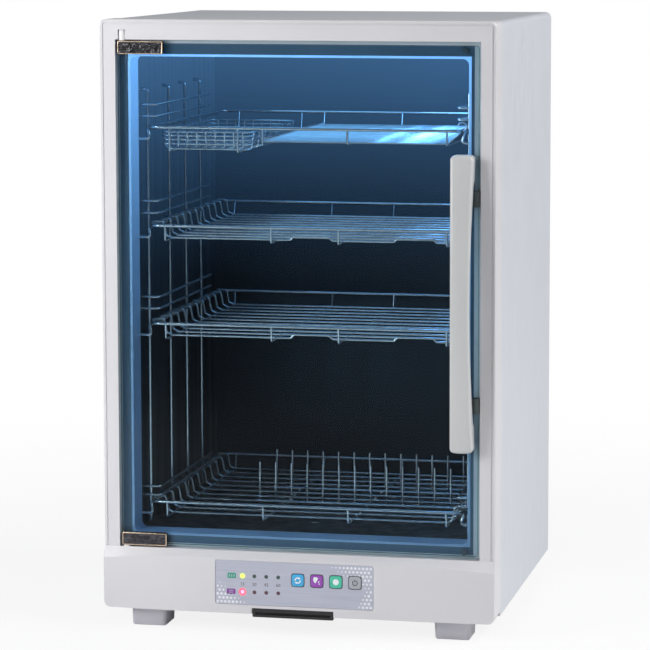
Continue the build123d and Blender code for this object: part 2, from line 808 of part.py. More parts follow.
# ==============================================================================
# Control panel, keys, lamps and board
# ==============================================================================
sheet_front = panel_pocket - panel_sheet - strip_mid_reach
sheet_back = panel_pocket - strip_mid_reach
with BuildPart() as display_panel:
    with BuildSketch(upright(sheet_front)):
        with Locations((panel_x, panel_z)):
            RectangleRounded(panel_width - 0.6, panel_height - 0.6, panel_corner)
        with Locations(*key_places):
            Rectangle(key_size + 2 * key_gap, key_size + 2 * key_gap, mode=Mode.SUBTRACT)
        with Locations(*lamp_places):
            with Locations((0, lamp_row_up), (0, lamp_row_down)):
                RegularPolygon(lamp_lens, 6, mode=Mode.SUBTRACT)
    extrude(amount=-panel_sheet)
display_panel.part.label = "display_panel"
export_step(display_panel.part, "parts/display_panel.step")

key_front = sheet_front - key_proud
key_rest = sheet_back + seat_gap
switch_front = board_depth - 4.0
stem_end = switch_front - key_travel - seat_gap
for key_name, key_place in zip(("button_auto", "button_dry", "button_sterilise", "button_power"), key_places):
    with BuildPart() as key:
        with BuildSketch(upright(key_front)):
            with Locations(key_place):
                Rectangle(key_size, key_size)
        extrude(amount=-(key_rest + key_flange - key_front))
        chamfer(key.edges().filter_by(Axis.Y), key_corner)
        with BuildSketch(upright(key_rest)):
            with Locations(key_place):
                Rectangle(key_size + 2 * key_flange, key_size + 2 * key_flange)
        extrude(amount=-key_flange)
        with BuildSketch(upright(key_rest)):
            with Locations(key_place):
                Rectangle(5, 5)
        extrude(amount=-(stem_end - key_rest))
    key.part.label = key_name
    export_step(key.part, "parts/" + key_name + ".step")

for row_name, row_lift in (("led_row_upper", lamp_row_up), ("led_row_lower", lamp_row_down)):
    with BuildPart() as led_row:
        with BuildSketch(upright(sheet_front + 0.2)):
            with Locations(*lamp_places):
                with Locations((0, row_lift)):
                    RegularPolygon(lamp_lens - 0.1, 6)
        extrude(amount=-(panel_sheet + 0.8))
        with BuildSketch(upright(sheet_back)):
            with Locations((lamp_mid, panel_z + row_lift)):
                Rectangle(3 * lamp_pitch + 6, 6)
        extrude(amount=-(board_depth - sheet_back))
    led_row.part.label = row_name
    export_step(led_row.part, "parts/" + row_name + ".step")

with BuildPart() as control_board:
    with BuildSketch(upright(board_depth)):
        with Locations((panel_x, low + board_lift)):
            Rectangle(panel_width - 8, board_height)
    extrude(amount=-board_sheet)
    with BuildSketch(upright(switch_front)):
        with Locations(*key_places):
            Rectangle(6, 6)
    extrude(amount=-(board_depth - switch_front))
control_board.part.label = "control_board"
export_step(control_board.part, "parts/control_board.step")

# ==============================================================================
# Glass door: sheet, pivot clips, bowed grip, strike clips
# ==============================================================================
handle_z = low + handle_lift
screw_offset = handle_length / 2 - handle_foot / 2
screw_places = [(handle_centre, handle_z + screw_offset), (handle_centre, handle_z - screw_offset)]
with BuildPart() as door_glass:
    with BuildSketch(upright(glass_front)):
        with Locations((0, recess_mid)):
            RectangleRounded(2 * glass_half, glass_high - glass_low, glass_corner)
        with Locations(*screw_places):
            RegularPolygon(screw_radius + 0.2, 10, mode=Mode.SUBTRACT)
    extrude(amount=-glass_sheet)
door_glass.part.label = "door_glass"
export_step(door_glass.part, "parts/door_glass.step")

clip_mid_x = -glass_half + 0.3 + clip_width / 2
clip_front = glass_front - clip_fit - clip_leg
clip_deep = glass_sheet + 2 * (clip_fit + clip_leg)
clip_specs = {
    "hinge_clip_upper": (recess_high - clip_gap - clip_height / 2, 1),
    "hinge_clip_lower": (recess_low + clip_gap + clip_height / 2, -1),
}
for clip_name, (clip_z, end) in clip_specs.items():
    with BuildPart() as clip:
        with BuildSketch(upright(clip_front)):
            with Locations((clip_mid_x, clip_z)):
                Rectangle(clip_width, clip_height)
        extrude(amount=-clip_deep)
        chamfer(clip.edges().filter_by(Axis.Y), clip_round)
        # slot for the edge of the glass
        with BuildSketch(upright(glass_front - clip_fit)):
            with Locations((clip_mid_x, recess_mid)):
                Rectangle(clip_width + 4, glass_high - glass_low + 2 * clip_fit)
        extrude(amount=-(glass_sheet + 2 * clip_fit), mode=Mode.SUBTRACT)
        with BuildSketch(level(clip_z + end * clip_height)):
            with Locations((pivot_x, front_y + glass_mid)):
                Circle(pivot_radius + pivot_play)
        extrude(amount=-end * clip_height, mode=Mode.SUBTRACT)
    clip.part.label = clip_name
    export_step(clip.part, "parts/" + clip_name + ".step")

pin_engage = glass_end_gap - clip_gap - 0.4
with BuildPart() as hinge_bush_upper:
    with BuildSketch(level(recess_high - clip_gap + seat_gap)):
        with Locations((pivot_x, front_y + glass_mid)):
            RegularPolygon(bush_radius, 12, major_radius=False)
    extrude(amount=bush_length + clip_gap - seat_gap)
    with BuildSketch(level(recess_high - clip_gap + seat_gap)):
        with Locations((pivot_x, front_y + glass_mid)):
            Circle(pivot_radius)
    extrude(amount=-(pin_engage + seat_gap))
hinge_bush_upper.part.label = "hinge_bush_upper"
export_step(hinge_bush_upper.part, "parts/hinge_bush_upper.step")

with BuildPart() as hinge_pin_lower:
    with BuildSketch(level(recess_low - bush_length + 4)):
        with Locations((pivot_x, front_y + glass_mid)):
            Circle(pivot_radius)
    extrude(amount=bush_length - 4 + clip_gap + pin_engage)
    with BuildSketch(level(recess_low)):
        with Locations((pivot_x, front_y + glass_mid)):
            RegularPolygon(bush_radius, 12, major_radius=False)
    extrude(amount=clip_gap - seat_gap)
hinge_pin_lower.part.label = "hinge_pin_lower"
export_step(hinge_pin_lower.part, "parts/hinge_pin_lower.step")

handle_half = handle_length / 2
glass_y = front_y + glass_front
crown_y = glass_y - handle_mid_reach
tip_y = glass_y - handle_end_reach
belly_y = crown_y + handle_grip
with BuildPart() as door_handle:
    # side view: two feet on the glass and a grip bowed away from it
    with BuildSketch(Plane.YZ.offset(handle_centre - handle_end_width / 2)):
        with BuildLine():
            Polyline(
                (glass_y, handle_z - handle_half + handle_foot),
                (glass_y, handle_z - handle_half),
                (tip_y + 3, handle_z - handle_half),
                (tip_y, handle_z - handle_half + 4),
            )
            ThreePointArc(
                (tip_y, handle_z - handle_half + 4), (crown_y, handle_z), (tip_y, handle_z + handle_half - 4)
            )
            Polyline(
                (tip_y, handle_z + handle_half - 4),
                (tip_y + 3, handle_z + handle_half),
                (glass_y, handle_z + handle_half),
                (glass_y, handle_z + handle_half - handle_foot),
                (tip_y + handle_grip, handle_z + handle_half - handle_foot - 8),
            )
            ThreePointArc(
                (tip_y + handle_grip, handle_z + handle_half - handle_foot - 8),
                (belly_y, handle_z),
                (tip_y + handle_grip, handle_z - handle_half + handle_foot + 8),
            )
            Line(
                (tip_y + handle_grip, handle_z - handle_half + handle_foot + 8),
                (glass_y, handle_z - handle_half + handle_foot),
            )
        make_face()
    extrude(amount=handle_end_width)
    # front view: ends with rounded corners, waist narrower in the middle
    with BuildSketch(upright(glass_front)):
        with BuildLine():
            ThreePointArc(
                (handle_centre - handle_end_width / 2, handle_z - handle_half),
                (handle_centre - handle_mid_width / 2, handle_z),
                (handle_centre - handle_end_width / 2, handle_z + handle_half),
            )
            Line(
                (handle_centre - handle_end_width / 2, handle_z + handle_half),
                (handle_centre + handle_end_width / 2, handle_z + handle_half),
            )
            ThreePointArc(
                (handle_centre + handle_end_width / 2, handle_z + handle_half),
                (handle_centre + handle_mid_width / 2, handle_z),
                (handle_centre + handle_end_width / 2, handle_z - handle_half),
            )
            Line(
                (handle_centre + handle_end_width / 2, handle_z - handle_half),
                (handle_centre - handle_end_width / 2, handle_z - handle_half),
            )
        make_face()
    extrude(amount=handle_mid_reach + 1, mode=Mode.INTERSECT)
    chamfer(door_handle.faces().sort_by(Axis.Y)[0].outer_wire().edges(), handle_bevel)
door_handle.part.label = "door_handle"
export_step(door_handle.part, "parts/door_handle.step")

with BuildPart() as screw:
    with BuildSketch(upright(glass_back)):
        RegularPolygon(screw_head, 10)
    extrude(amount=-screw_head_height)
    with BuildSketch(upright(glass_front)):
        RegularPolygon(screw_radius, 10)
    extrude(amount=-glass_sheet)
for screw_name, screw_place in zip(("handle_screw_upper", "handle_screw_lower"), screw_places):
    with BuildPart() as handle_screw:
        with Locations((screw_place[0], 0, screw_place[1])):
            add(screw.part)
    handle_screw.part.label = screw_name
    export_step(handle_screw.part, "parts/" + screw_name + ".step")

strike_mid_x = glass_half + strike_sheet - strike_leg / 2
catch_front = glass_back + strike_sheet + magnet_gap
for end_name, end_lift in (("upper", strike_upper), ("lower", strike_lower)):
    with BuildPart() as strike_clip:
        with BuildSketch(level(low + end_lift - strike_height / 2)):
            with Locations((strike_mid_x, front_y + glass_mid)):
                Rectangle(strike_leg, glass_sheet + 2 * strike_sheet)
            with Locations((strike_mid_x - strike_sheet, front_y + glass_mid)):
                Rectangle(strike_leg, glass_sheet, mode=Mode.SUBTRACT)
        extrude(amount=strike_height)
    strike_clip.part.label = "strike_clip_" + end_name
    export_step(strike_clip.part, "parts/strike_clip_" + end_name + ".step")
    with BuildPart() as magnet:
        with BuildSketch(upright(catch_front)):
            with Locations((recess_half - 4 - magnet_width / 2, low + end_lift)):
                Rectangle(magnet_width, strike_height - 1)
        extrude(amount=-(recess_depth - catch_front))
    magnet.part.label = "magnet_" + end_name
    export_step(magnet.part, "parts/magnet_" + end_name + ".step")

bumper_lifts = {
    "door_bumper_upper": recess_high - flange_top / 2,
    "door_bumper_lower": recess_low + flange_bottom / 2,
}
for bumper_name, bumper_z in bumper_lifts.items():
    with BuildPart() as bumper:
        with BuildSketch(upright(glass_back + bumper_gap)):
            with Locations((handle_centre, bumper_z)):
                RegularPolygon(bumper_radius, 12)
        extrude(amount=-(recess_depth - glass_back - bumper_gap))
    bumper.part.label = bumper_name
    export_step(bumper.part, "parts/" + bumper_name + ".step")

# ==============================================================================
# Side racks: posts, one bearer under each shelf rim, two guard rails above it
# ==============================================================================
bearer_x = rim_half + bearer_side
post_x = bearer_x + bearer_wire + post_wire - weld
bearer_fall = math.sqrt((rim_wire + bearer_wire + bearer_gap) ** 2 - bearer_side**2)
guard_x = liner_half - guard_stand
rack_front = front_y + post_depths[0] - post_wire - guard_wire + weld
rack_rear = front_y + post_depths[-1] - post_wire - guard_wire + weld
bearer_front = front_y + rim_front + 5
bearer_rear = front_y + rim_front + rim_length - 8
with BuildPart() as rack_left:
    for post_depth in post_depths:
        add(
            rod(
                [
                    (-post_x, front_y + post_depth, liner_low + post_foot),
                    (-post_x, front_y + post_depth, low + post_top),
                    (-liner_half, front_y + post_depth, low + post_top),
                ],
                post_wire,
                6,
                (0, 1, 0),
            )
        )
    for shelf_level, guard_step in zip(shelf_levels, guard_steps):
        bearer_z = low + shelf_level - bearer_fall
        add(
            rod(
                [(-bearer_x, bearer_front, bearer_z), (-bearer_x, bearer_rear, bearer_z)],
                bearer_wire,
                8,
                (1, 0, 0),
            )
        )
        for guard_rise in guard_step:
            guard_z = low + shelf_level + guard_rise
            add(
                rod(
                    [
                        (-liner_half, rack_front, guard_z),
                        (-guard_x, rack_front, guard_z),
                        (-guard_x, rack_rear, guard_z),
                    ],
                    guard_wire,
                    4,
                    (0, 0, 1),
                )
            )
rack_left.part.label = "rack_left"
export_step(rack_left.part, "parts/rack_left.step")

with BuildPart() as rack_right:
    add(rack_left.part)
    mirror(about=Plane.YZ)
    split(bisect_by=Plane.YZ, keep=Keep.TOP)
rack_right.part.label = "rack_right"
export_step(rack_right.part, "parts/rack_right.step")

# ==============================================================================
# Wire shelves: a rim, cross wires bent down from it, runners under them
# ==============================================================================
rim_y = front_y + rim_front
rear_y = rim_y + rim_length
cross_count = int((rim_length - 10) / cross_pitch) + 1
cross_start = rim_y + (rim_length - (cross_count - 1) * cross_pitch) / 2
cross_places = [cross_start + index * cross_pitch for index in range(cross_count)]
runner_fall = base_drop + 2 * base_wire + wire_gap

rim_side = rod(
    [(0, rim_y, 0), (rim_half, rim_y, 0), (rim_half, rear_y, 0), (0, rear_y, 0)], rim_wire, 8, (0, 0, 1)
)
with BuildPart() as rim:
    add(rim_side)
    mirror(about=Plane.YZ)

cross_wire = rod(
    [(-rim_half, 0, 0), (-base_half, 0, -base_drop), (base_half, 0, -base_drop), (rim_half, 0, 0)],
    base_wire,
    6,
    (0, 1, 0),
)
hump_points = [(-rim_half, 0, 0), (-base_half, 0, -base_drop)]
for hump_middle in (hump_left, hump_right):
    hump_points += [
        (hump_middle - hump_width / 2 - 3, 0, -base_drop),
        (hump_middle - hump_width / 2, 0, hump_height - base_drop),
        (hump_middle + hump_width / 2, 0, hump_height - base_drop),
        (hump_middle + hump_width / 2 + 3, 0, -base_drop),
    ]
hump_points += [(base_half, 0, -base_drop), (rim_half, 0, 0)]
hump_wire = rod(hump_points, base_wire, 6, (0, 1, 0))


def runner_wire(fall):
    """A wire that drops from the front rim, runs back under the shelf and rises to the rear rim."""
    return rod(
        [(0, rim_y, 0), (0, rim_y + 2, -fall), (0, rear_y - 2, -fall), (0, rear_y, 0)],
        base_wire,
        6,
        (1, 0, 0),
    )


runner_plain = runner_wire(runner_fall)
cradle_wire = runner_wire(cradle_drop)
cradle_xs = (cradle_left, cradle_right)

for shelf_name, shelf_level, inner_runner in (
    ("shelf_2", shelf_levels[1], runner_half),
    ("shelf_3", shelf_levels[2], runner_half),
    ("shelf_4", shelf_levels[3], runner_half_low),
):
    shelf_z = low + shelf_level
    plain_places = cross_places[1:] if shelf_name != "shelf_4" else cross_places
    with BuildPart() as shelf:
        with Locations((0, 0, shelf_z)):
            add(rim.part)
        with Locations(*[(0, place, shelf_z) for place in plain_places]):
            add(cross_wire)
        if shelf_name != "shelf_4":
            with Locations((0, cross_places[0], shelf_z)):
                add(hump_wire)
        with Locations(*[(x, 0, shelf_z) for x in (-base_half, -inner_runner, inner_runner, base_half)]):
            add(runner_plain)
    shelf.part.label = shelf_name
    export_step(shelf.part, "parts/" + shelf_name + ".step")

# plate supports on the bottom shelf: a bar beside a cross wire with a row of upright pins
pin_mid = pin_first + (pin_count - 1) * pin_pitch / 2
pin_bar = (pin_count - 1) * pin_pitch + 12
pin_z = low + shelf_levels[3] - base_drop
pin_aside = 2 * base_wire / math.cos(math.pi / 6) + seat_gap
for pins_name, pins_y in (
    ("plate_pins_front", cross_places[3] + pin_aside),
    ("plate_pins_rear", cross_places[6] + pin_aside),
):
    with BuildPart() as plate_pins:
        add(
            rod(
                [(pin_mid - pin_bar / 2, pins_y, pin_z), (pin_mid + pin_bar / 2, pins_y, pin_z)],
                base_wire,
                6,
                (0, 1, 0),
            )
        )
        with BuildSketch(level(pin_z)):
            with Locations((pin_mid, pins_y)):
                with GridLocations(pin_pitch, 0, pin_count, 1):
                    Rectangle(base_wire * 1.8, base_wire * 1.8)
        extrude(amount=pin_height)
    plate_pins.part.label = pins_name
    export_step(plate_pins.part, "parts/" + pins_name + ".step")

# the top shelf has a floor of fine wires on the right and a cradle for the cutlery basket on the left
mesh_wire = rod(
    [(mesh_left, 0, -base_drop), (base_half, 0, -base_drop), (rim_half, 0, 0)], mesh_radius, 4, (0, 1, 0)
)
mesh_count = int((rim_length - 10) / mesh_pitch) + 1
mesh_fall = base_drop + mesh_radius + base_wire + wire_gap
with BuildPart() as shelf_1:
    with Locations((0, 0, low + shelf_levels[0])):
        add(rim.part)
    with Locations((0, rim_y + rim_length / 2, low + shelf_levels[0])):
        with GridLocations(0, mesh_pitch, 1, mesh_count):
            add(mesh_wire)
    with Locations(*[(x, 0, low + shelf_levels[0]) for x in (mesh_left, runner_half_low, base_half)]):
        add(runner_wire(mesh_fall))
    with Locations(*[(x, 0, low + shelf_levels[0]) for x in cradle_xs]):
        add(cradle_wire)
shelf_1.part.label = "shelf_1"
export_step(shelf_1.part, "parts/shelf_1.step")

# cutlery basket: stacked hoops round a row of bent floor wires
basket_low = low + shelf_levels[0] - cradle_drop + base_wire + basket_wire + seat_gap
basket_high = basket_low + basket_depth
basket_y = front_y + basket_start
basket_rear = basket_y + basket_length
hoop_side = rod(
    [
        (0, basket_y, 0),
        (basket_half, basket_y, 0),
        (basket_half, basket_rear, 0),
        (0, basket_rear, 0),
    ],
    basket_wire,
    4,
    (0, 0, 1),
)
with BuildPart() as hoop:
    add(hoop_side)
    mirror(about=Plane.YZ)
basket_cross = rod(
    [
        (-basket_half, 0, basket_depth),
        (-basket_half + 4, 0, 0),
        (basket_half - 4, 0, 0),
        (basket_half, 0, basket_depth),
    ],
    basket_wire,
    4,
    (0, 1, 0),
)
basket_run = rod(
    [
        (0, basket_y, basket_depth),
        (0, basket_y + 4, 2 * basket_wire + wire_gap),
        (0, basket_rear - 4, 2 * basket_wire + wire_gap),
        (0, basket_rear, basket_depth),
    ],
    basket_wire,
    4,
    (1, 0, 0),
)
basket_bars = int((basket_length - 20) / basket_pitch) + 1
basket_first = basket_y + (basket_length - (basket_bars - 1) * basket_pitch) / 2
with BuildPart() as cutlery_basket:
    with Locations((basket_centre, 0, basket_high), (basket_centre, 0, basket_low + basket_depth * 0.55)):
        add(hoop.part)
    with Locations(
        *[(basket_centre, basket_first + index * basket_pitch, basket_low) for index in range(basket_bars)]
    ):
        add(basket_cross)
    with Locations(*[(basket_centre + x, 0, basket_low) for x in (-30, 0, 30)]):
        add(basket_run)
cutlery_basket.part.label = "cutlery_basket"
export_step(cutlery_basket.part, "parts/cutlery_basket.step")
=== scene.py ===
"""Counter-top dish steriliser: finishes, wires, glass door, key panel and stage for the CAD frame."""

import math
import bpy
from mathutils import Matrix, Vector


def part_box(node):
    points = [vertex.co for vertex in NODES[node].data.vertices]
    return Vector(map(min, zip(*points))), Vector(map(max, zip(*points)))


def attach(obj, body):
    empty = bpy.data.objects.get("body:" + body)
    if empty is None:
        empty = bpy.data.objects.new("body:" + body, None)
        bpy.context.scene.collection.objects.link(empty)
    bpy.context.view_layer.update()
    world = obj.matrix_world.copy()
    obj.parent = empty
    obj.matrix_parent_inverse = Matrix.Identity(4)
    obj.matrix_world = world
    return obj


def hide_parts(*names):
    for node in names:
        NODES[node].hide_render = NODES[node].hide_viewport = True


bl_info = {
    "name": "Dish steriliser cabinet",
    "version": (1, 0, 0),
    "blender": (4, 5, 0),
    "location": "View3D > Sidebar > Cabinet",
    "description": "Dresses the dish steriliser's CAD frame with its finishes, wires, glass and panel",
    "category": "Object",
}

import bmesh
import bpy
from bpy.props import FloatProperty, FloatVectorProperty, IntProperty, PointerProperty
from bpy.types import Operator, Panel, PropertyGroup
from mathutils import Vector

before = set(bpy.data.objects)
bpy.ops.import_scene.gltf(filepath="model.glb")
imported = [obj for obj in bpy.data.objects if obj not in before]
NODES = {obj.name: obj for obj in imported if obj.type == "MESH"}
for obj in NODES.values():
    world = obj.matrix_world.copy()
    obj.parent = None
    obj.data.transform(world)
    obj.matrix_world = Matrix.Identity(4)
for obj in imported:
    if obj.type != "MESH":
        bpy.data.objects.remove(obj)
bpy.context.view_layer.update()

# Lines of the cabinet, in metres. The first ones are read from the frame.
COVER_SETBACK = 0.042  # from the flat front face back to the cover's edge
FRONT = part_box("outer_cover")[0][1] - COVER_SETBACK
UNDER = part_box("front_frame")[0][2]
GLASS_LOW, GLASS_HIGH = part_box("door_glass")
PANEL_LOW, PANEL_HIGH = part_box("display_panel")
PANEL_FACE = PANEL_LOW[1]
LINER_HALF = 0.219  # from the middle to a side wall of the chamber
MOUTH_HALF = 0.2181  # from the middle to the jamb
MOUTH_SILL, MOUTH_HEAD = UNDER + 0.097, UNDER + 0.709
BEAD = 0.003  # blue bead round the chamber's mouth
CHAMBER_CEILING = UNDER + 0.7045

# The key panel: the lamps' column and spacing, and the rows of the printing.
LAMP_FIRST, LAMP_PITCH = -0.070, 0.0156
UPPER_ROW, NUMBER_ROW = UNDER + 0.049, UNDER + 0.0383
LOWER_LABEL, LOWER_LAMPS = UNDER + 0.0284, UNDER + 0.0283
KEY_WIDTH = 0.016
PRINT = 0.00004  # thickness of a printed mark

BLACK, WHITE = (0, 0, 0, 1), (1, 1, 1, 1)
EVEN = (1, 1, 1)  # a noise with no stretch
NOISE_LOW, NOISE_HIGH = 0.3, 0.7  # the part of a noise's values that is used


# ---- sizes and colours a user would change ------------------------------------------------------


def colour_property(name, description, default):
    """A colour swatch without transparency."""
    return FloatVectorProperty(
        name=name, description=description, default=default, size=3, min=0, max=1, subtype="COLOR"
    )


def number_property(name, description, default, **limits):
    """A plain number, or one with a unit or limits."""
    return FloatProperty(name=name, description=description, default=default, **limits)


def length_property(name, description, default):
    """A length in metres."""
    return number_property(name, description, default, min=0, unit="LENGTH", precision=4)


class CabinetFinish(PropertyGroup):
    """Colours of the mouldings, sheet metal, glass and lamp."""

    moulding: colour_property("Moulding", "Front frame and control strip", (0.72, 0.71, 0.735))
    cover: colour_property("Cover", "Painted sheet-metal cover", (0.64, 0.67, 0.715))
    foot: colour_property("Feet", "Moulded feet", (0.60, 0.59, 0.64))
    grip: colour_property("Grip", "Door grip", (0.61, 0.62, 0.62))
    flange: colour_property("Flange", "Slate flange behind the glass", (0.052, 0.120, 0.200))
    jamb: colour_property("Jamb", "Light blue jamb and bead of the chamber", (0.235, 0.41, 0.645))
    ledge: colour_property("Ledge", "Light ledge round the flange", (0.50, 0.58, 0.64))
    # The steel is darkened to near black: painted shade of the chamber's dim inside.
    steel: colour_property("Steel", "Stainless walls of the chamber", (0.014, 0.028, 0.042))
    wire: colour_property("Wire", "Chromed wire", (0.50, 0.58, 0.63))
    pane: colour_property("Pane", "Tint of the door glass", (0.80, 0.90, 0.95))
    pane_edge: colour_property("Pane edge", "Edge of the door glass", (0.30, 0.50, 0.49))
    lamp: colour_property("Lamp", "Light of the ultraviolet tube", (0.20, 0.50, 1.0))
    lamp_strength: number_property("Lamp strength", "Brightness of the tube", 12.0, min=0, max=300)
    chamber_light: number_property(
        "Chamber light", "Power of the blue light under the ceiling", 0.45, min=0, max=50
    )


class WireSizes(PropertyGroup):
    """Diameters and bends of the shelf and rack wires."""

    rim: length_property("Rim", "Diameter of a shelf's rim wire", 0.0042)
    cross: length_property("Cross wire", "Diameter of a floor wire", 0.0030)
    fine: length_property("Fine wire", "Diameter of the top shelf's floor wires", 0.0019)
    fine_pitch: length_property("Fine pitch", "Spacing of the top shelf's floor wires", 0.0072)
    basket: length_property("Basket wire", "Diameter of the cutlery basket's wires", 0.0021)
    post: length_property("Post", "Diameter of a rack post", 0.0042)
    guard: length_property("Guard rail", "Diameter of a guard rail", 0.0032)
    bend: length_property("Bend", "Radius of a wire's bends", 0.005)
    sides: IntProperty(
        name="Roundness", description="Steps in a quarter of a wire's section", default=3, min=1, max=8
    )


class PanelLook(PropertyGroup):
    """The printed key panel and its lamps."""

    film: colour_property("Film", "Silver-grey overlay", (0.53, 0.545, 0.64))
    ink: colour_property("Ink", "Numbers and key outlines", (0.07, 0.075, 0.09))
    dot: colour_property("Dots", "Pale pattern dots", (0.84, 0.86, 0.90))
    dot_pitch: length_property("Dot pitch", "Spacing of the pattern dots", 0.0050)
    auto: colour_property("Automatic key", "Blue key", (0.055, 0.43, 0.78))
    dry: colour_property("Dry key", "Purple key", (0.32, 0.07, 0.46))
    sterilise: colour_property("Sterilise key", "Green key", (0.07, 0.56, 0.38))
    power: colour_property("Power key", "Grey key", (0.42, 0.44, 0.48))


class StageLook(PropertyGroup):
    """Camera, floor and lights."""

    eye: FloatVectorProperty(
        name="Eye",
        description="Place of the camera",
        default=(0.847, -3.7925, 0.8896),
        size=3,
        subtype="TRANSLATION",
    )
    turn: number_property("Turn", "Camera turn to the left", math.radians(11.49), subtype="ANGLE")
    dip: number_property("Dip", "Camera dip below level", math.radians(6.364), subtype="ANGLE")
    lens: number_property("Lens", "Focal length in millimetres", 162.57, min=10, max=400)
    shift_x: number_property("Shift X", "Sideways shift of the lens", -0.1)
    shift_y: number_property("Shift Y", "Upward shift of the lens", -0.1)
    floor: colour_property("Floor", "Pale floor", (0.86, 0.86, 0.87))
    ambient: number_property("Ambient", "Light from all round", 0.17, min=0, max=5)
    front_light: number_property("Front light", "Soft lamp at the left front", 23, min=0)
    side_light: number_property("Side light", "Soft lamp at the right", 122, min=0)


# ---- finishes -----------------------------------------------------------------------------------


def blank(name):
    """A new material with its node tree and principled shader."""
    material = bpy.data.materials.new(name)
    material.use_nodes = True
    tree = material.node_tree
    return material, tree, tree.nodes["Principled BSDF"]


def node(tree, kind, inputs=None, **settings):
    """A shader node with its settings; each input is given a value or the socket that feeds it."""
    made = tree.nodes.new("ShaderNode" + kind)
    for setting, value in settings.items():
        setattr(made, setting, value)
    for socket, value in (inputs or {}).items():
        if isinstance(value, bpy.types.NodeSocket):
            tree.links.new(value, made.inputs[socket])
        else:
            made.inputs[socket].default_value = value
    return made


def maths(tree, operation, first, second):
    """The result of a sum or a test on two values."""
    return node(tree, "Math", {0: first, 1: second}, operation=operation).outputs["Value"]


def ranged(tree, value, low, high, first=0.0, last=1.0, **settings):
    """The value between two limits, brought to lie between two others."""
    limits = {"From Min": low, "From Max": high, "To Min": first, "To Max": last}
    return node(tree, "MapRange", {"Value": value, **limits}, **settings).outputs["Result"]


def own_place(tree):
    """The object's own coordinates."""
    return node(tree, "TexCoord").outputs["Object"]


def mixed(tree, factor, first, second):
    """The first colour where the factor is nothing, the second where it is one."""
    mix = node(tree, "Mix", {"Factor": factor, "A": first, "B": second}, data_type="RGBA")
    return mix.outputs["Result"]


def blended(tree, factor, first, second, output):
    """Puts two shaders on the tree's output, in the share of the factor."""
    blend = node(tree, "MixShader", {"Fac": factor, 1: first, 2: second})
    tree.links.new(blend.outputs["Shader"], tree.nodes[output].inputs["Surface"])


def noise_from(tree, scale, stretch=EVEN, detail=3.0):
    """A noise in the object's own coordinates, stretched along its axes."""
    scaled = node(tree, "Mapping", {"Vector": own_place(tree), "Scale": stretch}).outputs["Vector"]
    noise = node(tree, "TexNoise", {"Vector": scaled, "Scale": scale, "Detail": detail})
    return noise.outputs["Fac"]


def shades(tree, noise, colour, spread, ends=(NOISE_LOW, NOISE_HIGH)):
    """A colour that wanders with the noise, a little round the given colour."""
    ramp = node(tree, "ValToRGB", {"Fac": noise})
    for stop, end, share in zip(ramp.color_ramp.elements, ends, (1 - spread, 1 + spread)):
        stop.position = end
        stop.color = (*[min(1, c * share) for c in colour], 1)
    return ramp.outputs["Color"]


def uneven(tree, shader, colour=None, tint=None, gloss=None, relief=None):
    """Noise on a shader's colour, gloss and skin.

    tint is (scale, spread), gloss (scale, low, high) and relief (scale, strength, distance),
    each with the noise's stretch and detail after it where they aren't the usual ones.
    """
    if tint:
        scale, spread, *kind = tint
        tone = shades(tree, noise_from(tree, scale, *kind), colour, spread)
        tree.links.new(tone, shader.inputs["Base Color"])
    if gloss:
        scale, low, high, *kind = gloss
        rough = ranged(tree, noise_from(tree, scale, *kind), NOISE_LOW, NOISE_HIGH, low, high)
        tree.links.new(rough, shader.inputs["Roughness"])
    if relief:
        scale, strength, distance, *kind = relief
        height = noise_from(tree, scale, *kind)
        bump = node(tree, "Bump", {"Height": height, "Strength": strength, "Distance": distance})
        tree.links.new(bump.outputs["Normal"], shader.inputs["Normal"])


def surface(name, colour, tint, gloss, relief=None, **values):
    """A principled material with noise and its same-all-over values, such as coat_weight."""
    material, tree, shader = blank(name)
    uneven(tree, shader, colour, tint, gloss, relief)
    for socket, value in values.items():
        label = "IOR" if socket == "ior" else socket.replace("_", " ").title()
        shader.inputs[label].default_value = value
    return material


def moulded(name, colour, rough, coat=0.0, grain=0.06):
    """Moulded plastic: faint cloudiness, slightly uneven gloss and a fine spark-eroded grain."""
    gloss, relief = (26.0, rough - 0.05, rough + 0.05), (1400.0, grain, 0.0002)
    return surface(name, colour, (7.0, 0.018), gloss, relief, coat_weight=coat, coat_roughness=0.12)


def painted_sheet(name, colour):
    """Powder-coated sheet with an orange-peel skin and faint vertical streaks."""
    tint, gloss = (9.0, 0.012, (8, 8, 0.8)), (40.0, 0.30, 0.44, (3, 3, 0.5))
    return surface(name, colour, tint, gloss, (520.0, 0.10, 0.0003))


def bright_sheet(name, colour, rough, metal=1.0):
    """Rolled stainless sheet with long faint streaks in its gloss."""
    gloss = (6.0, rough * 0.85, rough * 1.2, (12, 12, 0.5), 0.0)
    return surface(name, colour, (6.0, 0.06), gloss, metallic=metal)


def plated(name, colour, rough=0.14, metal=1.0):
    """Chromed wire: bright metal with slightly uneven plating."""
    gloss, relief = (150.0, rough * 0.6, rough * 1.5), (500.0, 0.03, 0.0002, EVEN, 0.0)
    return surface(name, colour, (60.0, 0.08), gloss, relief, metallic=metal)


def pitted_chrome():
    """Black chrome with a wavy skin that breaks its reflections into glints."""
    tint, relief = (160.0, 0.5, (1, 1, 1.6)), (210.0, 0.75, 0.0012, (1, 1, 1.5))
    colour, gloss = (0.075, 0.074, 0.082), (90.0, 0.08, 0.20)
    return surface("black_chrome", colour, tint, gloss, relief, metallic=0.9)


def clear_pane(name, colour, rough):
    """Float glass with a trace of dust in its gloss."""
    gloss = (30.0, rough, rough + 0.015)
    return surface(name, colour, (3.0, 0.01), gloss, transmission_weight=1.0, ior=1.16)


def glowing(name, colour, strength, core, tint, gloss):
    """A lamp or lens of slightly uneven gloss, with light of its own."""
    return surface(name, core, tint, gloss, emission_color=(*colour, 1), emission_strength=strength)


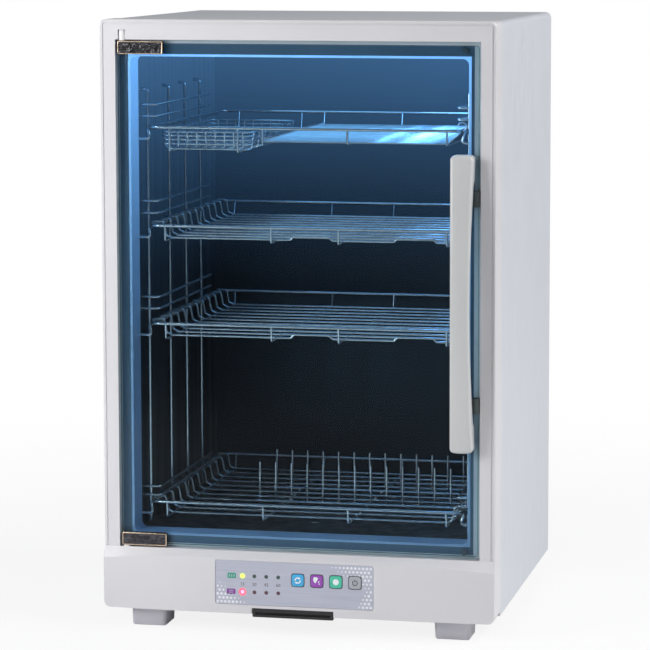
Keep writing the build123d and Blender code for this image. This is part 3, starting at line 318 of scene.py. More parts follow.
def lens(name, colour, strength=0.0):
    """A small coloured lamp lens, dark when it is off."""
    return glowing(name, colour, strength, colour, (300.0, 0.12), (90.0, 0.12, 0.24))


def ink(name, colour, rough=0.5):
    """Screen-printed ink with a slightly uneven lay-down."""
    return surface(name, colour, (500.0, 0.05), (200.0, rough - 0.06, rough + 0.06))


def metallic_film(name, colour):
    """Brushed silver overlay of the key panel."""
    tint, gloss = (12.0, 0.06, (1, 30, 60)), (25.0, 0.30, 0.42, (1, 30, 90))
    return surface(name, colour, tint, gloss, (900.0, 0.05, 0.0001), metallic=0.35)


def painted_lamp_glow(tree, colour, share, low, high):
    """Painted light: a share of the lamp's colour as glow on an upper part of the chamber, gone at the
    lower height.
    """
    height = node(tree, "SeparateXYZ", {"Vector": own_place(tree)}).outputs["Z"]
    falling = maths(tree, "POWER", ranged(tree, height, low, high), 1.8)
    return mixed(tree, falling, BLACK, (*[share * c for c in colour], 1))


def lit_by(tree, shader, light):
    """Gives a shader light of its own from a colour socket."""
    tree.links.new(light, shader.inputs["Emission Color"])
    shader.inputs["Emission Strength"].default_value = 1.0


def seen_directly(tree):
    """One for what is looked at, also through the glass, and nothing after a bounce."""
    rays = node(tree, "LightPath").outputs
    bounces = maths(tree, "ADD", rays["Diffuse Depth"], rays["Glossy Depth"])
    unbounced = maths(tree, "LESS_THAN", bounces, 0.5)
    through = maths(tree, "MULTIPLY", rays["Is Transmission Ray"], unbounced)
    return maths(tree, "MAXIMUM", rays["Is Camera Ray"], through)


def finish_nodes(material, *names):
    """Gives CAD nodes their material on their objects' own slots."""
    for name in names:
        piece = NODES[name]
        if not piece.material_slots:
            raise RuntimeError("node " + name + " has no material slot")
        for place in piece.material_slots:
            place.link = "OBJECT"
            place.material = material


# ---- shapes -------------------------------------------------------------------------------------


def arc(x, z, radius, start, end, steps):
    """Points on an arc, from one angle in degrees to another."""
    turns = [math.radians(start + (end - start) * step / steps) for step in range(steps + 1)]
    return [(x + radius * math.cos(turn), z + radius * math.sin(turn)) for turn in turns]


def disc(x, z, radius, steps=20):
    """Outline of a round mark."""
    return arc(x, z, radius, 0, 360, steps)[:-1]


def arc_band(x, z, inner, outer, start, end, steps=14):
    """Outline of part of a ring, in degrees."""
    return arc(x, z, outer, start, end, steps) + arc(x, z, inner, end, start, steps)


def rounded(x, z, width, height, corner, steps=6):
    """Points round a rectangle with rounded corners."""
    least = 1e-5
    corner = max(min(corner, width / 2 - least, height / 2 - least), least)
    points = []
    for quarter, (right, up) in enumerate(((1, 1), (-1, 1), (-1, -1), (1, -1))):
        centre_x, centre_z = x + right * (width / 2 - corner), z + up * (height / 2 - corner)
        points += arc(centre_x, centre_z, corner, 90 * quarter, 90 * quarter + 90, steps)
    return points


def middle_and_size(low, high, up=2):
    """Centre and size of a box seen from the front, or from above with up=1."""
    middle = ((low[0] + high[0]) / 2, (low[up] + high[up]) / 2)
    return middle, (high[0] - low[0], high[up] - low[up])


def object_from(name, mesh, materials):
    """Links a new object with its materials to the scene."""
    piece = bpy.data.objects.new(name, mesh)
    for material in materials:
        mesh.materials.append(material)
    bpy.context.scene.collection.objects.link(piece)
    return piece


def piece_from(name, shape, materials):
    """Makes an object of an edited shape, with all its faces outward."""
    bmesh.ops.recalc_face_normals(shape, faces=shape.faces)
    mesh = bpy.data.meshes.new(name)
    shape.to_mesh(mesh)
    shape.free()
    return object_from(name, mesh, materials)


def band(shape, first, second):
    """Faces all round between two rings of points."""
    faces = []
    for step in range(len(first)):
        after = (step + 1) % len(first)
        faces.append(shape.faces.new((first[step], first[after], second[after], second[step])))
    return faces


def skinned(name, rings, materials, bands=None, caps=(0, 0)):
    """A closed skin over rings of points; bands and caps pick each stretch's material."""
    shape = bmesh.new()
    rows = [[shape.verts.new(point) for point in ring] for ring in rings]
    for index in range(len(rows) - 1):
        for face in band(shape, rows[index], rows[index + 1]):
            face.material_index = bands[index] if bands else 0
            face.smooth = True
    for row, cap in ((rows[0], caps[0]), (rows[-1], caps[1])):
        shape.faces.new(row).material_index = cap
    return piece_from(name, shape, materials)


def plate(name, centre, size, corner, layers, materials, bands=None, caps=(0, 0), upright=True):
    """A plate parallel to the front or to the ground; each layer is (inset, place)."""
    rings = []
    for inset, place in layers:
        outline = rounded(*centre, size[0] - 2 * inset, size[1] - 2 * inset, corner - inset)
        rings.append([(u, place, v) if upright else (u, v, place) for u, v in outline])
    return skinned(name, rings, materials, bands, caps)


def turned(name, axis, profile, material, steps=28, upright=True):
    """A piece turned on an upright or a level axis; the profile gives (radius, place along it)."""
    rings = []
    for radius, along in profile:
        outline = disc(*axis, radius, steps)
        rings.append([(u, v, along) if upright else (u, along, v) for u, v in outline])
    return skinned(name, rings, [material])


def printed(name, outlines, depth, material, thickness=PRINT):
    """Flat marks printed on a face that looks to the front."""
    shape = bmesh.new()
    for outline in outlines:
        front = [shape.verts.new((x, depth - thickness, z)) for x, z in outline]
        back = [shape.verts.new((x, depth, z)) for x, z in outline]
        shape.faces.new(front)
        shape.faces.new(list(reversed(back)))
        band(shape, front, back)
    return piece_from(name, shape, [material])


def flat_ring(name, outer, inner, front, back, material):
    """A flat ring between two outlines."""
    shape = bmesh.new()
    rows = []
    for depth, outline in ((back, outer), (front, outer), (front, inner), (back, inner)):
        rows.append([shape.verts.new((x, depth, z)) for x, z in outline])
    for index in range(4):
        band(shape, rows[index], rows[(index + 1) % 4])
    return piece_from(name, shape, [material])


def bent(points, radius, closed=False, steps=5):
    """The wire's line with every corner turned in an arc."""
    points = [Vector(point) for point in points]
    count = len(points)
    line = []
    for index, corner in enumerate(points):
        if not closed and index in (0, count - 1):
            line.append(corner)
            continue
        before = points[index - 1] - corner
        after = points[(index + 1) % count] - corner
        reach = radius / max(math.tan(before.angle(after) / 2), 0.05)
        reach = min(reach, before.length * 0.48, after.length * 0.48)
        first = corner + before.normalized() * reach
        last = corner + after.normalized() * reach
        for step in range(steps + 1):
            t = step / steps
            line.append(first * (1 - t) ** 2 + corner * (2 * t * (1 - t)) + last * t**2)
    return line


def wires(name, runs, material, roundness):
    """One piece of welded wires; each run is (line, diameter, closed)."""
    curve = bpy.data.curves.new(name, "CURVE")
    curve.dimensions = "3D"
    curve.bevel_depth = 0.001
    curve.bevel_resolution = roundness
    curve.use_fill_caps = True
    for line, diameter, closed in runs:
        spline = curve.splines.new("POLY")
        spline.points.add(len(line) - 1)
        for point, place in zip(spline.points, line):
            point.co = (*place, 1)
            point.radius = diameter / 2 / curve.bevel_depth
        spline.use_cyclic_u = closed
        spline.use_smooth = True
    return object_from(name, curve, [material])


def placed(piece, body, slot, *replaced):
    """Rides the piece on its body and hides the CAD nodes it stands for; its slot is not used."""
    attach(piece, body)
    if replaced:
        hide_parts(*replaced)
    return piece


def area_lamp(name, place, size, power):
    """A square soft lamp that looks down."""
    light = bpy.data.lights.new(name, "AREA")
    light.size = size
    light.energy = power
    lamp = bpy.data.objects.new(name, light)
    lamp.location = place
    bpy.context.scene.collection.objects.link(lamp)
    return lamp


# ---- operators ----------------------------------------------------------------------------------


class CABINET_OT_stage(Operator):
    """Camera at the photograph's angle, pale floor, soft lamps and world light"""

    bl_idname = "cabinet.stage"
    bl_label = "Stage"

    floor_reach = 12.0

    def execute(self, context):
        scene = context.scene
        look = scene.cabinet_stage
        scene.view_settings.view_transform = "Standard"
        camera = bpy.data.objects.new("view_camera", bpy.data.cameras.new("view_camera"))
        scene.collection.objects.link(camera)
        camera.data.sensor_width = 36
        camera.data.lens = look.lens
        camera.data.shift_x = look.shift_x
        camera.data.shift_y = look.shift_y
        camera.data.clip_end = 50
        camera.location = look.eye
        camera.rotation_euler = (math.pi / 2 - look.dip, 0, look.turn)
        scene.camera = camera

        floor_mesh = bpy.data.meshes.new("floor")
        reach = self.floor_reach
        corners = [(-reach, -reach, 0), (reach, -reach, 0), (reach, reach, 0), (-reach, reach, 0)]
        floor_mesh.from_pydata(corners, [], [(0, 1, 2, 3)])
        floor = object_from("floor", floor_mesh, [self.floor_finish(look.floor)])

        lamps = (
            ("front_lamp", (-1.25, -1.35, 1.0), (-0.05, -0.2, 0.40), 0.9, look.front_light),
            ("side_lamp", (3.0, -0.15, 2.75), (0.2, 0, 0.4), 2.4, look.side_light),
        )
        for name, place, aim, size, power in lamps:
            lamp = area_lamp(name, place, size, power)
            lamp.rotation_euler = (Vector(aim) - Vector(place)).to_track_quat("-Z", "Y").to_euler()

        world = bpy.data.worlds.new("studio")
        scene.world = world
        world.use_nodes = True
        tree = world.node_tree
        ambient = tree.nodes["Background"]
        ambient.inputs["Color"].default_value = (0.97, 0.98, 1.0, 1)
        ambient.inputs["Strength"].default_value = look.ambient
        seen = node(tree, "Background", {"Color": WHITE, "Strength": 1.0})
        outputs = ambient.outputs["Background"], seen.outputs["Background"]
        blended(tree, seen_directly(tree), *outputs, "World Output")
        return {"FINISHED"}

    def floor_finish(self, colour):
        """Pale floor that keeps the shadow and runs out to white."""
        material, tree, shader = blank("pale_floor")
        uneven(tree, shader, colour, (2.0, 0.01))
        shader.inputs["Roughness"].default_value = 0.9
        glow = node(tree, "Emission", {"Color": WHITE})
        reach = node(tree, "VectorMath", {0: own_place(tree)}, operation="LENGTH").outputs["Value"]
        fade = ranged(tree, reach, 0.35, 1.7, 0.86, 1.0, interpolation_type="SMOOTHSTEP")
        share = maths(tree, "MULTIPLY", seen_directly(tree), fade)
        blended(tree, share, shader.outputs["BSDF"], glow.outputs["Emission"], "Material Output")
        return material


class CABINET_OT_casing(Operator):
    """Finishes of the front frame, cover, back, bottom pan and feet"""

    bl_idname = "cabinet.casing"
    bl_label = "Casing"

    def execute(self, context):
        finish = context.scene.cabinet_finish
        finish_nodes(moulded("lacquered_moulding", finish.moulding, 0.40, 0.15), "front_frame")
        finish_nodes(painted_sheet("powder_coat", finish.cover), "outer_cover", "rear_panel")
        finish_nodes(bright_sheet("zinc_sheet", (0.45, 0.46, 0.47), 0.4), "base_pan", "air_duct")
        runner = moulded("runner_plastic", (0.5, 0.5, 0.52), 0.4)
        finish_nodes(runner, "tray_runner_left", "tray_runner_right")
        finish_nodes(moulded("black_rubber", (0.02, 0.02, 0.022), 0.6), "cord_gland")
        foot = moulded("foot_moulding", finish.foot, 0.5)
        for name in ("foot_front_left", "foot_front_right", "foot_rear_left", "foot_rear_right"):
            low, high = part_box(name)
            under, top = low[2], high[2]
            layers = ((0.0022, under), (0.0012, under + 0.0012), (0.0002, top - 0.004), (0, top))
            centre, size = middle_and_size(low, high, 1)
            piece = plate("block_" + name, centre, size, 0.006, layers, [foot], upright=False)
            placed(piece, "cabinet", "foot_plastic", name)
        return {"FINISHED"}


class CABINET_OT_chamber(Operator):
    """Finishes of the chamber, its lamp, heater and fan"""

    bl_idname = "cabinet.chamber"
    bl_label = "Chamber"

    def execute(self, context):
        finish = context.scene.cabinet_finish
        finish_nodes(self.flange_finish(finish), "chamber_flange")
        self.ledge(finish)
        # The walls' near-black steel colour is painted shade of the chamber's dim inside.
        wall = bright_sheet("stainless_wall", finish.steel, 0.36, 0.62)
        tree = wall.node_tree
        # Painted glow of the lamp on the walls, strongest at the top and gone lower down.
        light = painted_lamp_glow(tree, finish.lamp, 0.24, UNDER + 0.36, UNDER + 0.71)
        lit_by(tree, tree.nodes["Principled BSDF"], light)
        finish_nodes(wall, *[name for name in NODES if name.startswith("liner_")])
        self.ceiling_light(finish)
        finish_nodes(bright_sheet("bright_reflector", (0.80, 0.84, 0.88), 0.05), "lamp_reflector")
        tube = (finish.lamp, finish.lamp_strength, (0.7, 0.8, 1.0), (20.0, 0.02), (40.0, 0.15, 0.25))
        finish_nodes(glowing("lit_tube", *tube), "uv_tube")
        ceramic = moulded("lamp_ceramic", (0.75, 0.75, 0.73), 0.3)
        finish_nodes(ceramic, "lamp_socket_front", "lamp_socket_rear")
        finish_nodes(moulded("fan_plastic", (0.015, 0.015, 0.017), 0.5), "fan_housing", "fan_rotor")
        finish_nodes(bright_sheet("heater_fins", (0.5, 0.5, 0.5), 0.35), "ptc_heater")
        finish_nodes(bright_sheet("grille_sheet", (0.35, 0.42, 0.48), 0.22), "floor_grille")
        finish_nodes(moulded("drain_plastic", (0.6, 0.6, 0.6), 0.4), "drain_spout")
        return {"FINISHED"}

    def ceiling_light(self, finish):
        """Blue light that spreads from the lamp's window in the ceiling."""
        low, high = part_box("uv_tube")
        place = (low[0] - 0.06, (low[1] + high[1]) / 2, CHAMBER_CEILING)
        lamp = area_lamp("ceiling_light", place, 0.36, finish.chamber_light)
        lamp.data.shape = "RECTANGLE"
        lamp.data.size_y = 0.30
        lamp.data.color = (finish.lamp[0] * 1.3, finish.lamp[1] * 1.2, finish.lamp[2])

    def ledge(self, finish):
        """Light ledge of the frame round the slate flange, widest on the handle side."""
        low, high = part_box("chamber_flange")
        outlines = []
        for left, right, bottom, top in ((0, 0, 0, 0), (0.0022, 0.0098, 0.0050, 0.0060)):
            x0, x1, z0, z1 = low[0] + left, high[0] - right, low[2] + bottom, high[2] - top
            outlines.append(((x0, z0), (x1, z0), (x1, z1), (x0, z1)))
        skin = moulded("ledge_moulding", finish.ledge, 0.35)
        piece = flat_ring("frame_ledge", *outlines, FRONT + 0.0118, FRONT + 0.0125, skin)
        placed(piece, "cabinet", "frame_plastic")

    def flange_finish(self, finish):
        """Slate paint on the flat flange, light blue on the bead and down the jamb, with a painted glow
        of the lamp on the jamb's upper part.
        """
        material, tree, shader = blank("slate_and_blue")
        place = node(tree, "SeparateXYZ", {"Vector": own_place(tree)}).outputs
        outside = maths(tree, "GREATER_THAN", place["X"], MOUTH_HALF + BEAD)
        for axis, test, limit in (
            ("X", "LESS_THAN", -MOUTH_HALF - BEAD),
            ("Z", "GREATER_THAN", MOUTH_HEAD + BEAD),
            ("Z", "LESS_THAN", MOUTH_SILL - BEAD),
        ):
            outside = maths(tree, "MAXIMUM", outside, maths(tree, test, place[axis], limit))
        uneven(tree, shader, gloss=(30.0, 0.28, 0.36), relief=(600.0, 0.06, 0.0002))
        cloud = noise_from(tree, 12.0)
        slate = shades(tree, cloud, finish.flange, 0.08, (0, 1))
        blue = shades(tree, cloud, finish.jamb, 0.06, (0, 1))
        tree.links.new(mixed(tree, outside, blue, slate), shader.inputs["Base Color"])
        # Painted glow of the lamp, only on the bead and jamb inside the flange.
        light = painted_lamp_glow(tree, finish.lamp, 0.85, UNDER + 0.32, UNDER + 0.72)
        lit_by(tree, shader, mixed(tree, outside, light, BLACK))
        return material


class CABINET_OT_door(Operator):
    """Glass pane with ground edges, pivot clips, grip, strikes and stops"""

    bl_idname = "cabinet.door"
    bl_label = "Door"

    def execute(self, context):
        finish = context.scene.cabinet_finish
        self.pane(finish)
        self.clips()
        self.pivots()
        self.grip(finish)
        for material, kind in (
            (bright_sheet("strike_steel", (0.13, 0.15, 0.15), 0.3), "strike_clip"),
            (plated("screw_plating", (0.7, 0.7, 0.72)), "handle_screw"),
            (moulded("ferrite", (0.03, 0.03, 0.035), 0.5), "magnet"),
            (moulded("soft_stop", (0.05, 0.085, 0.12), 0.3), "door_bumper"),
        ):
            finish_nodes(material, kind + "_upper", kind + "_lower")
        return {"FINISHED"}

    def pane(self, finish):
        """Clear sheet with a small ground bevel round its edge."""
        clear = clear_pane("clear_glass", finish.pane, 0.0)
        ground = clear_pane("ground_edge", finish.pane_edge, 0.25)
        middle, size = middle_and_size(GLASS_LOW, GLASS_HIGH)
        front, back, bevel = GLASS_LOW[1], GLASS_HIGH[1], 0.0008
        layers = ((bevel, front), (0, front + bevel), (0, back - bevel), (bevel, back))
        piece = plate("glass_pane", (0, middle[1]), size, 0.004, layers, [clear, ground], (1, 1, 1))
        for face in piece.data.polygons:
            face.use_smooth = False
        placed(piece, "door", "door_glass", "door_glass")

    def clips(self):
        """Dark chromed clips with a pale gold bevel."""
        skins = [pitted_chrome(), plated("gold_bevel", (0.62, 0.48, 0.36), 0.25)]
        for name in ("hinge_clip_upper", "hinge_clip_lower"):
            low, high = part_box(name)
            front, back = low[1], high[1]
            layers = (
                (0.0016, front + 0.0003),
                (0.0013, front),
                (0.0004, front + 0.0002),
                (0, front + 0.0008),
                (0, back - 0.0008),
                (0.0008, back),
            )
            centre, size = middle_and_size(low, high)
            piece = plate("cap_" + name, centre, size, 0.0028, layers, skins, (1, 1, 1, 0, 0))
            placed(piece, "door", "clip_chrome", name)

    def pivots(self):
        """White bush above, collar below."""
        white = moulded("white_bush", (0.86, 0.86, 0.87), 0.35)
        low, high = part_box("hinge_bush_upper")
        axis, size = middle_and_size(low, high, 1)
        foot, top, pin, radius = low[2], high[2], 0.0024, size[0] / 2 - 0.0002
        collar_height, bush_height, soft = 0.0013, 0.0124, 0.0006
        shoulder = top - bush_height - collar_height
        bush = [(pin / 2, foot), (pin, foot + 0.0008), (pin, shoulder), (radius - soft, shoulder)]
        bush += [(radius, shoulder + soft), (radius, top - 0.0012)]
        bush += [(radius - 0.0010, top - 0.0002), (0.0010, top)]
        low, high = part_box("hinge_pin_lower")
        foot, top, collar = low[2], high[2], UNDER + 0.079
        collar_top = collar + collar_height
        stub = [(pin / 2, foot), (pin, foot + soft), (pin, collar), (radius, collar)]
        stub += [(radius, collar_top), (pin, collar_top), (pin, top - soft), (0.0014, top)]
        for name, profile, node_name in (
            ("bush_upper", bush, "hinge_bush_upper"),
            ("pin_lower", stub, "hinge_pin_lower"),
        ):
            placed(turned(name, axis, profile, white), "cabinet", "bush_white", node_name)

    def grip(self, finish):
        """Bowed grip, waisted in front view, with a soft edge and two feet on the glass."""
        skin = moulded("grip_lacquer", finish.grip, 0.34, 0.25, 0.04)
        low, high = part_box("door_handle")
        (middle_x, middle_z), (_, length) = middle_and_size(low, high)
        half, glass = length / 2, high[1]
        end_half, waist_half = 0.0147, 0.0119
        crown, tip = glass - 0.0353, glass - 0.0196
        thickness, foot, foot_fade, hollow_end = 0.012, 0.030, 0.009, 0.038
        corner, edge, edge_share = 0.006, 0.0045, 0.8
        steps = 96
        rings = []
        for step in range(steps + 1):
            along = -math.cos(math.pi * step / steps)
            from_end = half * (1 - abs(along))
            bow = 1 - along * along
            width = end_half + (waist_half - end_half) * bow - self.rounding(corner, from_end)
            front = tip + (crown - tip) * bow + self.rounding(edge, from_end) * edge_share
            hollow = max(0, 1 - (half * along / (half - hollow_end)) ** 2)
            belly = tip + thickness + (crown - tip) * hollow
            share = min(1, max(0, (from_end - foot) / foot_fade))
            share = share * share * (3 - 2 * share)
            back = glass + (belly - glass) * share
            z = middle_z + half * along
            rings.append([(middle_x + u, front + v, z) for u, v in self.section(width, back - front)])
        placed(skinned("bowed_grip", rings, [skin]), "door", "handle_plastic", "door_handle")

    def rounding(self, radius, from_end):
        """How far a rounded end draws in, this far from the end."""
        return radius - math.sqrt(radius**2 - max(0, radius - from_end) ** 2)

    def section(self, half, depth):
        """Cross-section of the grip: soft front edges, crowned face, small back edges."""
        soft = min(0.0045, half * 0.6, depth * 0.45)
        tight = min(0.0015, soft)
        crown, flat = 0.0006, half - soft
        face = [flat * (step / 3 - 1) for step in range(1, 6)]
        return (
            arc(-flat, soft, soft, -180, -90, 8)
            + [(u, -crown * (1 - (u / flat) ** 2)) for u in face]
            + arc(flat, soft, soft, -90, 0, 8)
            + arc(half - tight, depth - tight, tight, 0, 90, 3)
            + arc(tight - half, depth - tight, tight, 90, 180, 3)
        )


class CABINET_OT_shelves(Operator):
    """Round-wire shelves, cutlery basket and plate pins"""

    bl_idname = "cabinet.shelves"
    bl_label = "Shelves"

    rim_half, base_half, drop = 0.2035, 0.184, 0.017
    rim_front, rim_rear = FRONT + 0.045, FRONT + 0.405
    row_pitch = 0.032
    hump_foot, hump_half, hump_rise = 0.0275, 0.0235, 0.0045
    cradle_left, cradle_drop = -0.0545, 0.0315
    pin_first, pin_pitch, pin_count = -0.0896, 0.0215, 13

    def execute(self, context):
        self.sizes = context.scene.cabinet_wires
        chrome = plated("chromed_wire", context.scene.cabinet_finish.wire, 0.16, 0.85)
        levels = {number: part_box("shelf_%d" % number)[1][2] - 0.002 for number in (1, 2, 3, 4)}
        hump_middles = (0.0045, 0.140)
        pieces = [
            ("wire_shelf_2", self.grid(levels[2], 0.044, hump_middles), "second_shelf", "shelf_2"),
            ("wire_shelf_3", self.grid(levels[3], 0.044, hump_middles), "third_shelf", "shelf_3"),
            ("wire_shelf_4", self.grid(levels[4], 0.056, ()), "bottom_shelf", "shelf_4"),
            ("wire_shelf_1", self.top_grid(levels[1]), "top_shelf", "shelf_1"),
            ("wire_basket", self.basket(), "top_shelf", "cutlery_basket"),
        ]
        for name in ("plate_pins_front", "plate_pins_rear"):
            pieces.append(("round_" + name, self.pins(name), "bottom_shelf", name))
        for name, runs, body, replaced in pieces:
            placed(wires(name, runs, chrome, self.sizes.sides), body, "shelf_wire", replaced)
        return {"FINISHED"}

    def rim(self, z):
        """Closed rim wire with rounded corners."""
        left, right, front, rear = -self.rim_half, self.rim_half, self.rim_front, self.rim_rear
        corners = [(left, front, z), (right, front, z), (right, rear, z), (left, rear, z)]
        return (bent(corners, 0.012, True, 7), self.sizes.rim, True)

    def hooked_end(self, side):
        """A cross wire's end: up the slope, over the rim and a little down outside it."""
        reach = (self.sizes.rim + self.sizes.cross) / 2
        end = [
            (side * (self.base_half + 0.0045), -self.drop + 0.0030),
            (side * (self.rim_half - 0.0120), reach),
            (side * (self.rim_half - 0.0010), reach),
        ]
        for angle in (75, 45, 20):
            spread = math.radians(angle)
            end.append((side * (self.rim_half + reach * math.cos(spread)), reach * math.sin(spread)))
        return end

    def cross(self, y, z, humps):
        """A floor wire hooked over both sides of the rim."""
        line = self.hooked_end(-1)[::-1] + [(-self.base_half + 0.003, -self.drop)]
        for middle in humps:
            line += [
                (middle - self.hump_foot, -self.drop),
                (middle - self.hump_half, -self.drop + self.hump_rise),
                (middle + self.hump_half, -self.drop + self.hump_rise),
                (middle + self.hump_foot, -self.drop),
            ]
        line += [(self.base_half - 0.003, -self.drop)] + self.hooked_end(1)
        return (bent([(x, y, z + h) for x, h in line], self.sizes.bend * 0.7), self.sizes.cross, False)

    def runner(self, x, z, fall):
        """A wire from the front rim down, back under the floor and up to the rear rim."""
        points = [
            (x, self.rim_front, z),
            (x, self.rim_front + 0.001, z - fall + 0.001),
            (x, self.rim_front + 0.006, z - fall),
            (x, self.rim_rear - 0.006, z - fall),
            (x, self.rim_rear, z),
        ]
        return (bent(points, self.sizes.bend * 0.7), self.sizes.cross, False)

    def rows(self, pitch):
        """Places of floor wires from front to back."""
        length = self.rim_rear - self.rim_front
        count = int((length - 0.010) / pitch) + 1
        first = self.rim_front + (length - (count - 1) * pitch) / 2
        return [first + index * pitch for index in range(count)]

    def grid(self, z, inner, humps):
        """Rim, cross wires and runners of one shelf; the foremost cross wire has the humps."""
        runs = [self.rim(z)]
        for index, y in enumerate(self.rows(self.row_pitch)):
            runs.append(self.cross(y, z, () if index else humps))
        fall = self.drop + self.sizes.cross + 0.0001
        return runs + [self.runner(x, z, fall) for x in (-self.base_half, -inner, inner, self.base_half)]

    def top_grid(self, z):
        """Top shelf: fine floor wires on the right, an open cradle for the basket on the left."""
        runs = [self.rim(z)]
        left = self.cradle_left
        for y in self.rows(self.sizes.fine_pitch):
            points = [
                (left - 0.0005, y, z - self.drop + 0.0040),
                (left + 0.0005, y, z - self.drop),
                (self.base_half, y, z - self.drop),
                (self.rim_half - 0.0032, y, z - 0.0030),
                (self.rim_half - 0.0010, y, z + 0.0028),
            ]
            runs.append((bent(points, 0.0025, False, 3), self.sizes.fine, False))
        fall = self.drop + (self.sizes.fine + self.sizes.cross) / 2
        runs += [self.runner(x, z, fall) for x in (left, 0.056, self.base_half)]
        runs += [self.runner(x, z, self.cradle_drop) for x in (-0.177, -0.087)]
        radius = 0.0055
        loop = arc(self.rim_half, z + radius, radius, -80, 180, 10)
        runs.append(([(x, self.rim_front + 0.001, h) for x, h in loop], self.sizes.fine, False))
        return runs

    def basket(self):
        """Rounded hoops, cross wires and long floor wires of the cutlery basket."""
        low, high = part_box("cutlery_basket")
        radius, slope, end = 0.001, 0.003, 0.016
        (x0, y0, base), (x1, y1, top) = [v + radius for v in low], [v - radius for v in high]
        thick = self.sizes.basket
        runs = []
        for share in (0.0, 0.30, 0.55, 0.78, 1.0):
            inset = 0.004 * (1 - share) if share < 0.3 else 0.0005
            z = base + (top - base) * share
            left, right, front, back = x0 + inset, x1 - inset, y0 + inset, y1 - inset
            corners = [(left, front, z), (right, front, z), (right, back, z), (left, back, z)]
            runs.append((bent(corners, 0.010, True, 6), thick, True))
        bars = 8
        for index in range(bars):
            y = y0 + end + (y1 - y0 - 2 * end) * index / (bars - 1)
            points = [(x0, y, top), (x0 + slope, y, base), (x1 - slope, y, base), (x1, y, top)]
            runs.append((bent(points, 0.005), thick, False))
        long_bars, long_end, z = 9, 0.011, base + thick
        for index in range(long_bars):
            x = x0 + long_end + (x1 - x0 - 2 * long_end) * index / (long_bars - 1)
            points = [(x, y0, top), (x, y0 + slope, z), (x, y1 - slope, z), (x, y1, top)]
            runs.append((bent(points, 0.005), thick, False))
        return runs

    def pins(self, name):
        """A bar with a row of upright pins."""
        low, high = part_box(name)
        y, z, top = (low[1] + high[1]) / 2, low[2] + 0.0015, high[2]
        runs = [([(low[0], y, z), (high[0], y, z)], self.sizes.cross, False)]
        for index in range(self.pin_count):
            x = self.pin_first + index * self.pin_pitch
            line = [(x, y, z), (x, y, top - 0.0008), (x, y, top - 0.0001)]
            runs.append((line, self.sizes.cross * 0.9, False))
        return runs


class CABINET_OT_racks(Operator):
    """Side racks: posts, shelf bearers with hooked fronts, guard rails"""

    bl_idname = "cabinet.racks"
    bl_label = "Side racks"

    post_half, bearer_half, guard_half = 0.2101, 0.2066, LINER_HALF - 0.023
    posts = (0.0605, 0.160, 0.240, 0.316)
    tiers = (
        (0.617, (0.0284, 0.0136)),
        (0.4903, (0.0307, 0.0152)),
        (0.3634, (0.033, 0.018)),
        (0.130, (0.0178, 0.0066)),
    )
    hook_drop, bearer_drop = 0.0150, 0.0030

    def execute(self, context):
        sizes = context.scene.cabinet_wires
        chrome = plated("rack_wire", context.scene.cabinet_finish.wire, 0.16, 0.85)
        hook_front, bearer_rear = FRONT + 0.0455, FRONT + 0.396
        guard_front, guard_rear = FRONT + self.posts[0] - 0.0036, FRONT + 0.3124
        for name, side in (("rack_left", -1), ("rack_right", 1)):
            low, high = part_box(name)
            wall, post, bearer, guard = [
                side * half for half in (LINER_HALF, self.post_half, self.bearer_half, self.guard_half)
            ]
            top = high[2] - 0.0022
            runs = []
            for depth in self.posts:
                y = FRONT + depth
                points = [(post, y, low[2] + 0.0005), (post, y, top), (wall, y, top)]
                runs.append((bent(points, sizes.bend), sizes.post, False))
            for level, rises in self.tiers:
                z = UNDER + level
                points = [
                    (wall, hook_front, z - self.hook_drop),
                    (bearer - side * 0.004, hook_front, z - self.hook_drop),
                    (bearer, hook_front + 0.0020, z - self.bearer_drop),
                    (bearer, bearer_rear, z - self.bearer_drop),
                ]
                runs.append((bent(points, sizes.bend), sizes.post * 0.95, False))
                for rise in rises:
                    h = z + rise
                    points = [(wall, guard_front, h), (guard, guard_front, h), (guard, guard_rear, h)]
                    runs.append((bent(points, sizes.bend), sizes.guard, False))
            placed(wires("round_" + name, runs, chrome, sizes.sides), "cabinet", "rack_wire", name)
        return {"FINISHED"}


